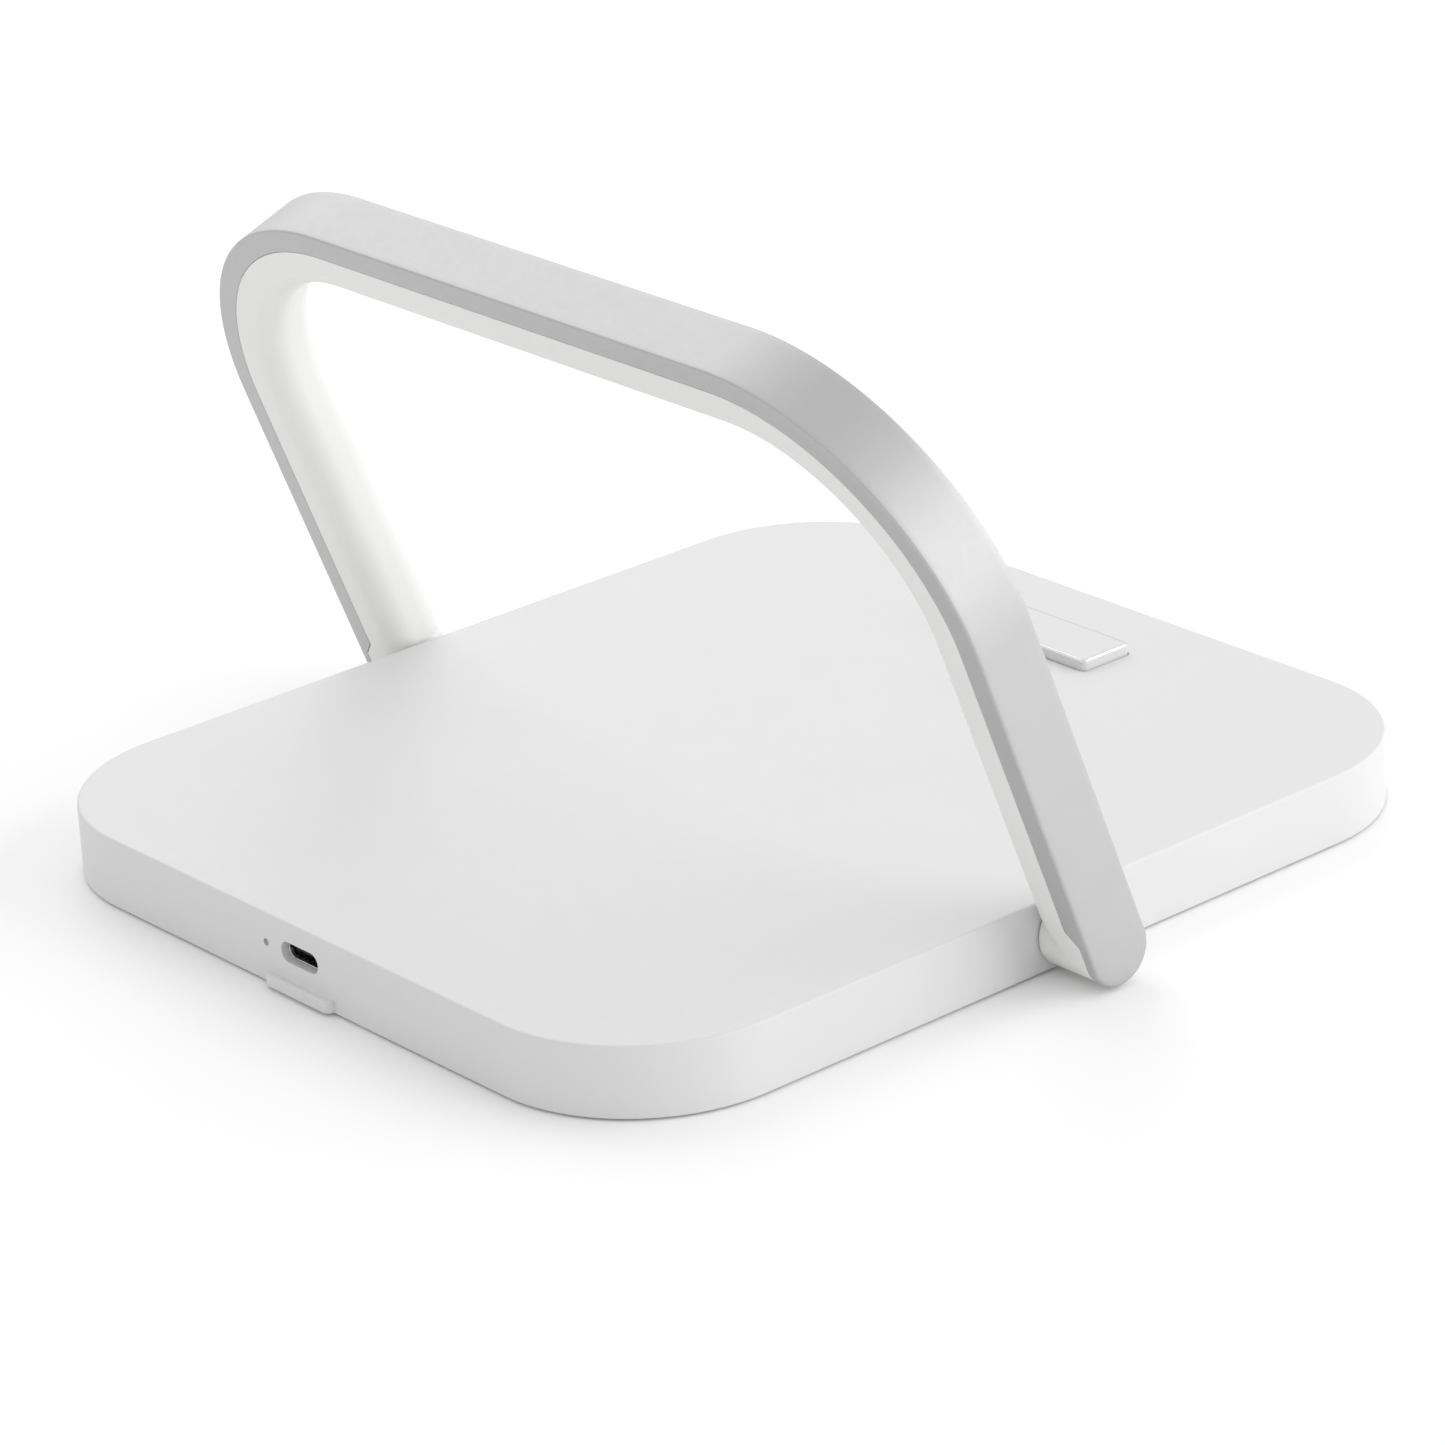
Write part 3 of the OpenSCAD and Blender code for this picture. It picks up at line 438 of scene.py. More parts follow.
def grain(tree, shader, size, depth):
    """Surface relief: bumps of one real width and one depth, both in millimetres."""
    where = add_node(tree, "ShaderNodeTexCoord").outputs["Object"]
    noise = add_node(tree, "ShaderNodeTexNoise", {"Scale": 1 / (size * MM)}, Vector=where)
    bump = add_node(tree, "ShaderNodeBump", {"Strength": 0.5, "Distance": depth * MM}, Height=noise.outputs["Fac"])
    tree.links.new(shader.inputs["Normal"], bump.outputs["Normal"])


def vary(tree, shader, socket, low, high, size):
    """A shader value or colour that drifts between two ends over patches of one real size in millimetres."""
    where = add_node(tree, "ShaderNodeTexCoord").outputs["Object"]
    noise = add_node(tree, "ShaderNodeTexNoise", {"Scale": 1 / (size * MM)}, Vector=where)
    ramp = add_node(tree, "ShaderNodeValToRGB", {}, Fac=noise.outputs["Fac"])
    # Most of the noise lies between these two places on the ramp
    for end, place, value in zip(ramp.color_ramp.elements, (0.35, 0.65), (low, high)):
        end.position = place
        end.color = (*value, 1) if isinstance(value, tuple) else (value, value, value, 1)
    tree.links.new(shader.inputs[socket], ramp.outputs["Color"])


def shade(base, factor):
    """A colour scaled in brightness."""
    return tuple(min(1.0, c * factor) for c in base)


def finely_grained(name, base, metallic, ior, roughness, grain_size, grain_depth, drift, gloss, patches):
    """A material whose colour and gloss drift a little over patches, two sizes in millimetres, with a fine grain."""
    material, tree, shader = start_material(name, base, metallic, roughness, ior)
    vary(tree, shader, "Base Color", shade(base, 1 - drift), shade(base, 1 + drift), patches[0])
    vary(tree, shader, "Roughness", roughness - gloss, roughness + gloss, patches[1])
    grain(tree, shader, grain_size, grain_depth)
    return material


def moulded(name, base, roughness, grain_size, grain_depth, drift, ior=1.54, gloss=0.03):
    """Plastic, rubber or coating from a spark-eroded tool or a spray: even colour, fine matt grain, faint mottle in
    its gloss."""
    return finely_grained(name, base, 0.0, ior, roughness, grain_size, grain_depth, drift, gloss, (18, 2.5))


def metal(name, base, roughness, grain_size, grain_depth, drift=0.02, gloss=0.04):
    """Bare, plated or anodised metal: coloured reflection, and a fine blasted or rolled grain that spreads it. It
    keeps the usual IOR."""
    return finely_grained(name, base, 1.0, 1.5, roughness, grain_size, grain_depth, drift, gloss, (6, 1.2))


def laminate(name, base):
    """Glass-fibre circuit board under solder mask: glossy green, with the weave as a shallow square relief."""
    material, tree, shader = start_material(name, base, 0.0, 0.32, 1.5)
    where = add_node(tree, "ShaderNodeTexCoord").outputs["Object"]
    # Glass cloth has about two threads a millimetre. They are drawn pi mm apart (2 pi / 20 / scale), so that they show
    size = {"Scale": 100, "wave_type": "BANDS"}
    warp = add_node(tree, "ShaderNodeTexWave", {**size, "bands_direction": "X"}, Vector=where)
    weft = add_node(tree, "ShaderNodeTexWave", {**size, "bands_direction": "Y"}, Vector=where)
    both = add_node(tree, "ShaderNodeMath", {"operation": "ADD"})
    tree.links.new(both.inputs[0], warp.outputs["Fac"])
    tree.links.new(both.inputs[1], weft.outputs["Fac"])
    bump = add_node(tree, "ShaderNodeBump", {"Strength": 0.3, "Distance": 0.01 * MM}, Height=both.outputs[0])
    tree.links.new(shader.inputs["Normal"], bump.outputs["Normal"])
    vary(tree, shader, "Base Color", shade(base, 0.9), shade(base, 1.1), 3)
    return material


# Each slot's finish: how it is made, its common name, its colour (from Finishes, or sRGB), then roughness, width and
# depth of the grain in millimetres, share by which the colour drifts, and what isn't usual: a plastic's IOR, a
# metal's spread of gloss. The grain is about as wide as the real one's, and shows only close up.
FINISHES = {
    # What shows: satin white plastics, an opal strip that looks smoother, and dull silver beside bright cut edges
    "housing_plastic": (moulded, "polycarbonate blend, spark-eroded", "housing", 0.5, 0.35, 0.012, 0.004),
    "hub_plastic": (moulded, "polycarbonate blend, fine matt", "hub", 0.46, 0.3, 0.008, 0.012),
    "diffuser_acrylic": (moulded, "opal acrylic, extruded", "diffuser", 0.4, 0.5, 0.003, 0.008, 1.49),
    "anodised_aluminium": (metal, "aluminium, blasted and anodised", "rail", 0.58, 0.3, 0.0003, 0.006, 0.01),
    "button_metal": (moulded, "aluminium, blasted and coated", "button", 0.46, 0.25, 0.006, 0.01),
    "polished_edge": (metal, "aluminium, diamond-cut", "#F0F1F2", 0.12, 0.08, 0.0005, 0.01),
    "socket_steel": (metal, "stainless steel, drawn", "#C9CACB", 0.24, 0.12, 0.002),
    "black_plastic": (moulded, "liquid-crystal polymer, black", "#1A1A1B", 0.45, 0.2, 0.004, 0.1),
    "contact_gold": (metal, "gold plating over nickel", "#E2BE6A", 0.22, 0.1, 0.001),
    "light_pipe": (moulded, "frosted light pipe", "#8F9092", 0.4, 0.2, 0.004, 0.02, 1.49),
    # Underneath: coarser, duller plastic, and rubber that reflects next to nothing
    "cover_plastic": (moulded, "polycarbonate blend, coarse matt", "#D8D8D8", 0.56, 0.5, 0.02, 0.012),
    "mat_silicone": (moulded, "silicone rubber, matt", "mat", 0.72, 0.6, 0.03, 0.03, 1.41),
    # Inside: green board, black and grey blocks, warm copper and bronze, cool steel
    "board_laminate": (laminate, "glass-fibre laminate, green mask", "#1F5A34"),
    "component_body": (moulded, "epoxy package, black", "#2B2B2D", 0.5, 0.15, 0.01, 0.08),
    "ferrite_core": (moulded, "ferrite, sintered", "#38383A", 0.55, 0.4, 0.01, 0.08, 1.8),
    "connector_nylon": (moulded, "nylon, natural", "#E6DFC9", 0.45, 0.4, 0.006, 0.03, 1.53),
    "led_body": (moulded, "phosphor in silicone", "#E8D870", 0.35, 0.2, 0.004, 0.05, 1.41),
    "spreader_aluminium": (metal, "aluminium sheet, rolled", "#C4C6C8", 0.38, 0.3, 0.003),
    "coil_copper": (metal, "enamelled copper litz", "#B8693A", 0.35, 0.3, 0.03, 0.06),
    "screw_steel": (metal, "steel, nickel plated", "#B9BABC", 0.28, 0.2, 0.002),
    "hinge_steel": (metal, "steel, ground", "#A9ABAE", 0.3, 0.25, 0.002),
    "washer_bronze": (metal, "phosphor bronze", "#B98A55", 0.34, 0.25, 0.002, 0.04),
    "washer_nylon": (moulded, "acetal, grey", "#8B8C8E", 0.42, 0.3, 0.004, 0.02, 1.48),
    "strip_film": (moulded, "polyimide film, white", "#EFEEE8", 0.4, 0.5, 0.004, 0.02),
    "wire_jacket": (moulded, "silicone wire jacket", "#F2F2F0", 0.45, 0.4, 0.01, 0.02, 1.41),
}


def finish(slot):
    """The material for one of the record's slots, made the first time that it is asked for."""
    make, name, base, *numbers = FINISHES[slot]
    base = linear(base) if base.startswith("#") else tuple(getattr(bpy.context.scene.pad_finishes, base))
    return bpy.data.materials.get(name) or make(name, base, *numbers)


# The finish of each CAD node that stays as it is
NODE_FINISHES = {
    "cover_plastic": ["bottom_cover"],
    "mat_silicone": ["anti_slip_mat"],
    "black_plastic": ["socket_tongue", "coil_tray"],
    "contact_gold": ["socket_contacts"],
    "light_pipe": ["status_light_pipe"],
    "board_laminate": ["main_board", "button_board"],
    "component_body": ["controller_chips"],
    "ferrite_core": ["power_inductors", "ferrite_sheet"],
    "connector_nylon": ["lamp_connector", "board_capacitors"],
    "led_body": ["status_led", "led_chips"],
    "spreader_aluminium": ["heat_spreader"],
    "coil_copper": ["transmitter_coil", "coil_leads"],
    "screw_steel": ["cover_screws", "board_screws", "coil_tray_screws", "button_board_screws",
                    "bracket_screws", "hub_set_screws"],
    "hinge_steel": ["hinge_bracket_left", "hinge_bracket_right", "hinge_shaft_left", "hinge_shaft_right",
                    "hinge_nuts"],
    "washer_bronze": ["friction_washers"],
    "washer_nylon": ["hub_washers", "hinge_bush_left", "hinge_bush_right"],
    "strip_film": ["led_strip"],
    "wire_jacket": ["lamp_wires_arch", "lamp_wires_pad"],
}


# ---------------------------------------------------------------- the pieces

def opening_rows(lip, outside, inner):
    """Profile of an opening through a wall: a narrow flat ring, the round lip, then straight to the inner face."""
    bottom = outside + math.copysign(1, inner - outside) * lip
    return [(-3 * lip, outside), *arc_rows((-lip, outside), (0, bottom), (-lip, bottom), 3), (0, inner)]


def button_top():
    """Vertices of the button's top face in the CAD."""
    cap = node_points("button_cap")
    return cap[cap[:, 2] > cap[:, 2].max() - 0.01 * MM]


def block_loop(points, r0, r1, c0, c1):
    """The border of a block of a grid, once round."""
    return np.vstack([points[r0, c0:c1], points[r0:r1, c1], points[r1, c1:c0:-1], points[r1:r0:-1, c0]])


class PAD_OT_housing(bpy.types.Operator):
    """Build the pad's moulded shell with its rounded edges, ledge and openings"""

    bl_idname = "charging_pad.housing"
    bl_label = "Housing"

    def execute(self, context):
        s = context.scene.pad_shape
        low, high, front = PAD_LOW[2], PAD_HIGH[2], -PAD_L / 2
        ceiling = high - s.top
        shell_low, shell_high = node_box("socket_shell")
        socket_z = (shell_low[2] + shell_high[2]) / 2
        pipe_low, pipe_high = node_box("status_light_pipe")
        status_x = (pipe_low[0] + pipe_high[0]) / 2
        # The side bore fits the bush where it passes through the wall
        bush = node_points("hinge_bush_right")
        bush = bush[bush[:, 0] > PAD_HIGH[0] - 0.2 * MM]
        play = 0.02 * MM
        bore_r = np.hypot(*(bush[:, 1:] - HINGE[1:]).T).max() + play

        # Stations: close together at the ledge's ends, and at the borders of the flat windows round the openings
        half = s.ledge_w / 2
        bend = half - s.ledge_corner + s.ledge_corner * np.sin(np.linspace(0, math.pi / 2, 9))
        window_x, window_y, past_ledge = 12 * MM, 7 * MM, 0.1 * MM
        across = np.r_[-window_x, -bend[::-1], -half - past_ledge, half + past_ledge, bend, window_x]
        outline = rounded_rect(PAD_W, PAD_L, s.corner, 28, across, (-window_y, window_y))
        stations = ring(outline, 0)

        # Rows: down the inner wall, under the rim, up the outer wall with the ledge, and over the top edge
        ledge_bottom, ledge_top = low + s.ledge_low, low + s.ledge_low + s.ledge_h
        window_low = ledge_top + s.ledge_blend + 0.3 * MM
        window_high = high - s.edge - 0.25 * MM
        inner_window_high = ceiling - 0.9 * MM
        inner_rows = [(s.wall, ceiling), (s.wall, inner_window_high), (s.wall, window_low), (s.wall, low)]
        rim_rows = [*arc_rows((s.rim, low), (0, low + s.rim), (s.rim, low + s.rim), 2)]
        ledge_from = len(inner_rows) + len(rim_rows)
        # The ledge's profile is (share of its depth, height): a tight lower edge, a softer brow, a hollow blend
        tight, soft, blend = 0.12 * MM, 0.35 * MM, s.ledge_blend
        depth = front - PAD_LOW[1]
        under = arc_rows((depth - tight, ledge_bottom), (depth, ledge_bottom + tight),
                         (depth - tight, ledge_bottom + tight), 2)
        brow = arc_rows((depth, ledge_top - soft), (depth - soft, ledge_top), (depth - soft, ledge_top - soft), 4)
        fillet = arc_rows((blend, ledge_top), (0, ledge_top + blend), (blend, ledge_top + blend), 4)
        ledge = np.vstack([[(0, ledge_bottom)], under, brow, fillet])
        wall_rows = [(0, z) for z in (*ledge[:, 1], window_low, window_high)]
        top_rows = [*arc_rows((0, high - s.edge), (s.edge, high), (s.edge, high - s.edge), 5),
                    (s.edge + 0.4 * MM, high)]
        shell = carry(outline, [*inner_rows, *rim_rows, *wall_rows, *top_rows], "z", (0, 0))

        # The ledge stands out by its share of a depth that falls to nothing round its ends
        x = np.abs(stations[:, 0])
        over = np.clip((x - (half - s.ledge_corner)) / s.ledge_corner, 0, 1)
        at_ledge = (stations[:, 1] < front + MM) & (x < half + past_ledge / 2)
        share = np.where(at_ledge, np.sqrt(1 - over**2), 0)
        rows = slice(ledge_from, ledge_from + len(ledge))
        shell[rows, :, 1] -= ledge[:, :1] * share

        # Blocks of the grid give way to flat faces with openings. The sides, which have no ledge, are flat from the
        # rim up, and inside from the ceiling down.
        row_low = ledge_from + len(ledge)
        row_high = row_low + 1
        rim_top, floor_row = ledge_from - 1, len(inner_rows) - 1
        parts, blocks = [], []

        def window(axes, block, sign, holes):
            """Closes one block of the grid with a flat face round its openings."""
            blocks.append(block)
            parts.append(flat_part(block_loop(shell, *block), holes, axes, sign))

        def between(axis, reach, wall):
            """First and last station up to a reach each way along an axis, where the other coordinate is wall."""
            chosen = np.flatnonzero((np.abs(stations[:, 1 - axis] - wall) < WELD)
                                    & (np.abs(stations[:, axis]) < reach + WELD))
            return chosen.min(), chosen.max()

        slot_outline = stadium(shell_high[0] - shell_low[0] + 2 * s.slot_gap,
                               shell_high[2] - shell_low[2] + 2 * s.slot_gap)
        slot = carry(slot_outline, opening_rows(s.fine_lip, front, front + s.wall), "y", (0, socket_z))
        eye = carry(circle(s.status / 2, 24), opening_rows(s.lip / 2, front, front + s.wall), "y",
                    (status_x, socket_z))
        c0, c1 = between(0, window_x, front)
        window([0, 2], (row_low, row_high, c0, c1), 1, [slot[0], eye[0]])
        window([0, 2], (1, 2, c0, c1), -1, [slot[-1], eye[-1]])
        parts += [grid_part(slot), grid_part(eye)]
        for side in (1, -1):
            c0, c1 = between(1, window_y, side * PAD_W / 2)
            wall_x, inner_x = side * PAD_W / 2, side * (PAD_W / 2 - s.wall)
            bore = carry(circle(bore_r), [(0, wall_x), (0, inner_x)], "x", (HINGE[1], HINGE[2]))
            window([1, 2], (rim_top, row_high, c0, c1), side, [bore[0]])
            window([1, 2], (0, floor_row, c0, c1), -side, [bore[-1]])
            parts.append(grid_part(bore, flip=side < 0))
        parts.insert(0, grid_part(shell, leave_out=blocks))

        # Top and ceiling, with the button's opening between them
        upper = button_top()
        wide, long = np.ptp(upper[:, 0]) + 2 * s.button_gap, np.ptp(upper[:, 1]) + 2 * s.button_gap
        button_y = (upper[:, 1].max() + upper[:, 1].min()) / 2
        opening = carry(rounded_rect(wide, long, s.button_corner, 8), opening_rows(s.fine_lip, high, ceiling), "z",
                        (0, button_y))
        parts.append(flat_part(shell[-1], [opening[0]], [0, 1], 1))
        parts.append(flat_part(shell[0], [opening[-1]], [0, 1], -1))
        parts.append(grid_part(opening))
        make_piece("housing", parts, "base", "upper_housing", ["housing_plastic"])
        return {"FINISHED"}


def arch_path(heights):
    """Stations along the arch's outer face from the right foot over the bar to the left foot: points (u, v), and the
    unit normals that point inwards. heights are the stations wanted on an arm, where the corner's arc gets 41 more."""
    s = bpy.context.scene.arch_shape
    arm_top, half = ARCH_H - s.corner, ARCH_W / 2 - s.corner
    arm = np.unique(np.r_[heights, np.linspace(heights[-1], arm_top, 9)])
    turn = np.linspace(0, math.pi / 2, 41)[1:-1]
    bar = np.linspace(half, -half, 13)
    right = np.stack([np.full_like(arm, ARCH_W / 2), arm], 1)
    bend = np.stack([half + s.corner * np.cos(turn), arm_top + s.corner * np.sin(turn)], 1)
    straight = np.stack([bar, np.full_like(bar, ARCH_H)], 1)
    mirror = (-1, 1)
    points = np.vstack([right, bend, straight, bend[::-1] * mirror, right[::-1] * mirror])
    right_in = np.tile((-1.0, 0.0), (len(right), 1))
    bend_in = np.stack([-np.cos(turn), -np.sin(turn)], 1)
    inward = np.vstack([right_in, bend_in, np.tile((0.0, -1.0), (len(bar), 1)), bend_in[::-1] * mirror,
                        right_in * mirror])
    return points, inward


class PAD_OT_rail(bpy.types.Operator):
    """Build the bent aluminium rail of the arch"""

    bl_idname = "charging_pad.rail"
    bl_label = "Arch rail"

    def execute(self, context):
        s = context.scene.arch_shape
        half = BAND_W / 2
        heights = np.r_[0, s.lip_from, np.linspace(s.lip_from, s.lip_to, 5)[1:], s.lip_to + 0.5 * MM]
        points, inward = arch_path(heights)
        # One closed walk round the band: along the front edge, round the left foot, back along the rear edge, round
        # the right foot. edge is the direction from the centre line to the band's edge, as (along u, v, w).
        turn = np.linspace(0, math.pi, 25)[1:-1]
        foot = np.stack([np.zeros_like(turn), -np.sin(turn), -np.cos(turn)], 1)
        to_front = np.tile((0.0, 0.0, -1.0), (len(points), 1))
        edge = np.vstack([to_front, foot, -to_front, foot * (1, 1, -1)])

        def walk(rows):
            """Values of the path's stations, taken along the whole walk."""
            return np.vstack([rows, np.tile(rows[-1], (len(turn), 1)), rows[::-1], np.tile(rows[0], (len(turn), 1))])

        base, inner = walk(points), walk(inward)
        # Lip height at each station: the wall's thickness at the foot, then a slanting cut up to the full lip
        on_arm = np.abs(base[:, 0]) > ARCH_W / 2 - HAIR
        rise = np.clip((base[:, 1] - s.lip_from) / (s.lip_to - s.lip_from), 0, 1)
        lip = np.where(on_arm, s.wall + (s.lip - s.wall) * rise, s.lip)
        # The band's section from its middle, over the round edge and the lip, and back inside: (out, deep)
        r, small, lip_in = s.edge, 0.12 * MM, half - s.lip_wall
        profile = [(0, 0), (half - 3 * r, 0), *arc_rows((half - r, 0), (half, r), (half - r, r), 4),
                   (half, lip - small), (half - small, lip), (lip_in + small, lip),
                   (lip_in, np.maximum(lip - small, s.wall)), (lip_in, s.wall), (0, s.wall)]
        out = np.array([[a] for a, _ in profile])
        deep = np.array([np.broadcast_to(b, lip.shape) for _, b in profile])
        u = base[:, 0] + out * edge[:, 0] + deep * inner[:, 0]
        v = base[:, 1] + out * edge[:, 1] + deep * inner[:, 1]
        rail = from_arch(u, out * edge[:, 2], v)
        make_piece("arch_rail", [grid_part(rail)], "light_arch", "arch_channel", ["anodised_aluminium"])
        return {"FINISHED"}


def crown_drop(e, r):
    """How far a round edge of radius r falls at distance e inside the border: r - sqrt(r^2 - (r - e)^2)."""
    short = np.clip(r - e, 0, None)
    return r - np.sqrt(np.clip(r**2 - short**2, 0, None))


class PAD_OT_diffuser(bpy.types.Operator):
    """Build the opal diffuser that lines the arch"""

    bl_idname = "charging_pad.diffuser"
    bl_label = "Diffuser"

    def execute(self, context):
        s = context.scene.arch_shape
        half, r = CROWN_W / 2, s.crown_corner
        wall_in = half - s.crown_wall
        # It sits on the lips, and a leg on each side reaches down between them
        seat = s.lip + 0.05 * MM
        step = seat + 0.4 * MM
        leg_out, leg_in, leg_end = wall_in + 0.25 * MM, wall_in - 0.65 * MM, s.wall + 0.45 * MM
        # Half of the section as (depth, across), from the seat on the lip over the crown to the middle and back
        side = np.vstack([[(seat, half)],
                          arc_rows((CROWN_IN - r, half), (CROWN_IN, half - r), (CROWN_IN - r, half - r), 10)])
        top, r_in = CROWN_IN - s.crown_wall, max(0.4 * MM, r - s.crown_wall)
        hollow = arc_rows((top, wall_in - r_in), (top - r_in, wall_in), (top - r_in, wall_in - r_in), 6)
        inner = np.vstack([hollow, [(step, wall_in), (step, leg_in), (leg_end, leg_in), (leg_end, leg_out),
                                    (seat, leg_out)]])
        section = np.vstack([side * (1, -1), side[::-1], inner[::-1], inner * (1, -1)])
        points, inward = arch_path([CROWN_FOOT])
        deep, across = section[:, :1], section[:, 1:]
        u = points[:, 0] + deep * inward[:, 0]
        v = points[:, 1] + deep * inward[:, 1]
        grid = from_arch(u, across, v)
        parts = [grid_part(np.swapaxes(grid, 0, 1), flip=True)]
        # The two ends are flat faces worked out in the section's own plane
        flat = np.column_stack([section, np.zeros(len(section))])
        for end, sign in ((0, 1), (-1, -1)):
            parts.append((grid[:, end], flat_part(flat, [], [0, 1], sign)[1]))
        make_piece("diffuser_bar", parts, "light_arch", "diffuser", ["diffuser_acrylic"])
        return {"FINISHED"}


class PAD_OT_hubs(bpy.types.Operator):
    """Build the two hubs that blend the diffuser's feet into the hinge bosses"""

    bl_idname = "charging_pad.hubs"
    bl_label = "Hubs"

    def execute(self, context):
        s = context.scene.arch_shape
        low, high = node_box("hinge_hub_right")
        half, top = CROWN_W / 2, CROWN_FOOT
        fit, rim, break_in = 0.1 * MM, 0.2 * MM, 0.15 * MM
        # Depths from the arch's outer face: of the boss, of the hub's foot in the rail, of the shaft's end
        boss_in, foot = ARCH_W / 2 - low[0], ARCH_W / 2 - high[0]
        shaft_out = ARCH_W / 2 - node_box("hinge_shaft_right")[1][0] - 0.02 * MM
        leg = half - s.lip_wall - 0.05 * MM
        cut_from = s.lip_from - fit
        corner = math.atan2(half, top)
        special = [math.atan2(leg, top), math.atan2(half, cut_from), math.atan2(half, s.lip_to)]
        quarter = math.pi / 2
        half_turn = np.r_[np.linspace(0, corner, 13), special, np.linspace(corner, quarter, 25),
                          np.linspace(quarter, math.pi, 25)]
        half_turn = np.unique(np.round(half_turn, 9))
        turn = np.r_[-half_turn[1:-1][::-1], half_turn]
        up, out = np.cos(turn), np.sin(turn)
        # Distance from the axis to the hub's outline: the boss's radius below, a square shoulder above
        shoulder = np.minimum(half / np.maximum(np.abs(out), HAIR), top / np.maximum(up, HAIR))
        reach = np.where(up <= HAIR, half, shoulder)
        # Rows as (distance from the axis, depth): in the bore, over the boss's face and its round rim
        rows = [(0, shaft_out), (s.bore, shaft_out), (s.bore, boss_in - break_in), (s.bore + break_in, boss_in),
                (half - 4 * rim, boss_in),
                *arc_rows((half - rim, boss_in), (half, boss_in - rim), (half - rim, boss_in - rim), 3)]
        # Beyond the boss the surface falls in a hollow quarter circle to the crown's section. Towards the axis the
        # crown gets a little shallower and rounder, by the square of the share of the foot's length
        base_in = boss_in - rim
        spread = np.minimum(s.blend, np.maximum(reach - half, WELD))
        steps = 26
        for g in (np.arange(1, steps + 1) / steps) ** 2:
            rho = half + (reach - half) * g
            narrow = np.clip((s.foot_from - rho * up) / s.foot_length, 0, 1) ** 2
            crown = CROWN_IN - s.foot_depth * narrow
            crown = crown - crown_drop(half - np.abs(rho * out), s.crown_corner + s.foot_corner * narrow)
            near = 1 - np.clip((rho - half) / spread, 0, 1)
            rows.append((rho, crown + (base_in - crown) * (1 - np.sqrt(1 - near**2))))
        rho, deep = (np.array([np.broadcast_to(row[i], turn.shape) for row in rows]) for i in (0, 1))
        # The outline's wall goes down to the rail's lip where there is one, and to the foot elsewhere. From there a
        # shelf leads in between the lips to the leg, and the leg down to the foot.
        side_v, side_w = reach * up, reach * out
        above_cut = side_v > cut_from - HAIR
        rise = np.clip((side_v - s.lip_from + fit) / (s.lip_to - s.lip_from), 0, 1)
        on_lip = above_cut & (np.abs(side_w) > leg + 1e-7)
        cut = np.where(on_lip, s.wall + fit + (s.lip - s.wall) * rise, foot)
        inset = np.where(above_cut, np.clip(side_w, -leg, leg), side_w)
        # On the hub's flat top the shelf slants down a hair towards the corners, so that its faces keep some width
        slant = 0.05 * MM * np.clip((np.abs(side_w) - leg) / (half - leg), 0, 1)
        inner_v = np.where(side_v > top - HAIR, side_v - slant, side_v)
        none = np.zeros_like(turn)
        v = np.vstack([rho * up, side_v, inner_v, inner_v, none])
        w = np.vstack([rho * out, side_w, inset, inset, none])
        deep = np.vstack([deep, cut, cut, none + foot, none + foot])
        for side, name in ((1, "right"), (-1, "left")):
            hub = from_arch(side * (ARCH_W / 2 - deep), w, v)
            make_piece(f"hub_{name}", [grid_part(hub, flip=side > 0)], "light_arch", f"hinge_hub_{name}",
                       ["hub_plastic"])
        return {"FINISHED"}


class PAD_OT_button(bpy.types.Operator):
    """Build the button with its polished chamfer"""

    bl_idname = "charging_pad.button"
    bl_label = "Button"

    def execute(self, context):
        s = context.scene.button_shape
        cap, upper = node_points("button_cap"), button_top()
        low, high = cap[:, 2].min(), cap[:, 2].max()
        wide, long = np.ptp(upper[:, 0]), np.ptp(upper[:, 1])
        centre = (0, (upper[:, 1].max() + upper[:, 1].min()) / 2)
        # The flange under the pad's top, and the round post that meets the dome
        past = 0.05 * MM
        flange = cap[np.abs(cap[:, 0]) > wide / 2 + past][:, 2]
        under, over = flange.min(), flange.max()
        post_r = np.ptp(cap[cap[:, 2] < under - past][:, 0]) / 2
        outline = rounded_rect(wide, long, s.corner, 10)
        brim = rounded_rect(np.ptp(cap[:, 0]), np.ptp(cap[:, 1]), s.corner + 0.5 * MM, 10)
        c, soft, bevel = s.chamfer, 0.05 * MM, 0.1 * MM
        brim_rows = [(bevel, under), (0, under + bevel), (0, over - bevel), (bevel, over)]
        body = np.concatenate([carry(brim, brim_rows, "z", centre),
                               carry(outline, [(0, over), (0, high - c)], "z", centre)])
        cut_rows = [(0, high - c), (soft / 2, high - c + soft), (c - soft, high - soft / 2), (c, high)]
        # The coated face starts behind a fine groove with slanting sides
        g, floor = s.groove, high - s.groove_depth
        face_rows = [(c, high), (c + 0.2 * g, floor), (c + 0.8 * g, floor), (c + g, high), (c + 2 * g, high)]
        cut, face = carry(outline, cut_rows, "z", centre), carry(outline, face_rows, "z", centre)
        stem = carry(circle(post_r, 32), [(0, under + 2 * bevel), (0, low + bevel), (bevel, low)], "z", centre)
        parts = [grid_part(body), grid_part(cut), grid_part(face), fan_part(face[-1]), fan_part(body[0], flip=True),
                 grid_part(stem, flip=True), fan_part(stem[-1], flip=True), fan_part(stem[0])]
        make_piece("button_key", parts, "power_button", "button_cap", ["button_metal", "polished_edge"], 25,
                   [0, 1, 0, 0, 0, 0, 0, 0])
        return {"FINISHED"}


# Section of the rubber dome from under its middle, round the outside, to the top: shares of its radius and height
DOME = ((0.275, 0.48), (0.65, 0.12), (0.65, 0), (1, 0), (1, 0.24), (0.85, 0.24), (0.4, 0.8), (0.4, 1))


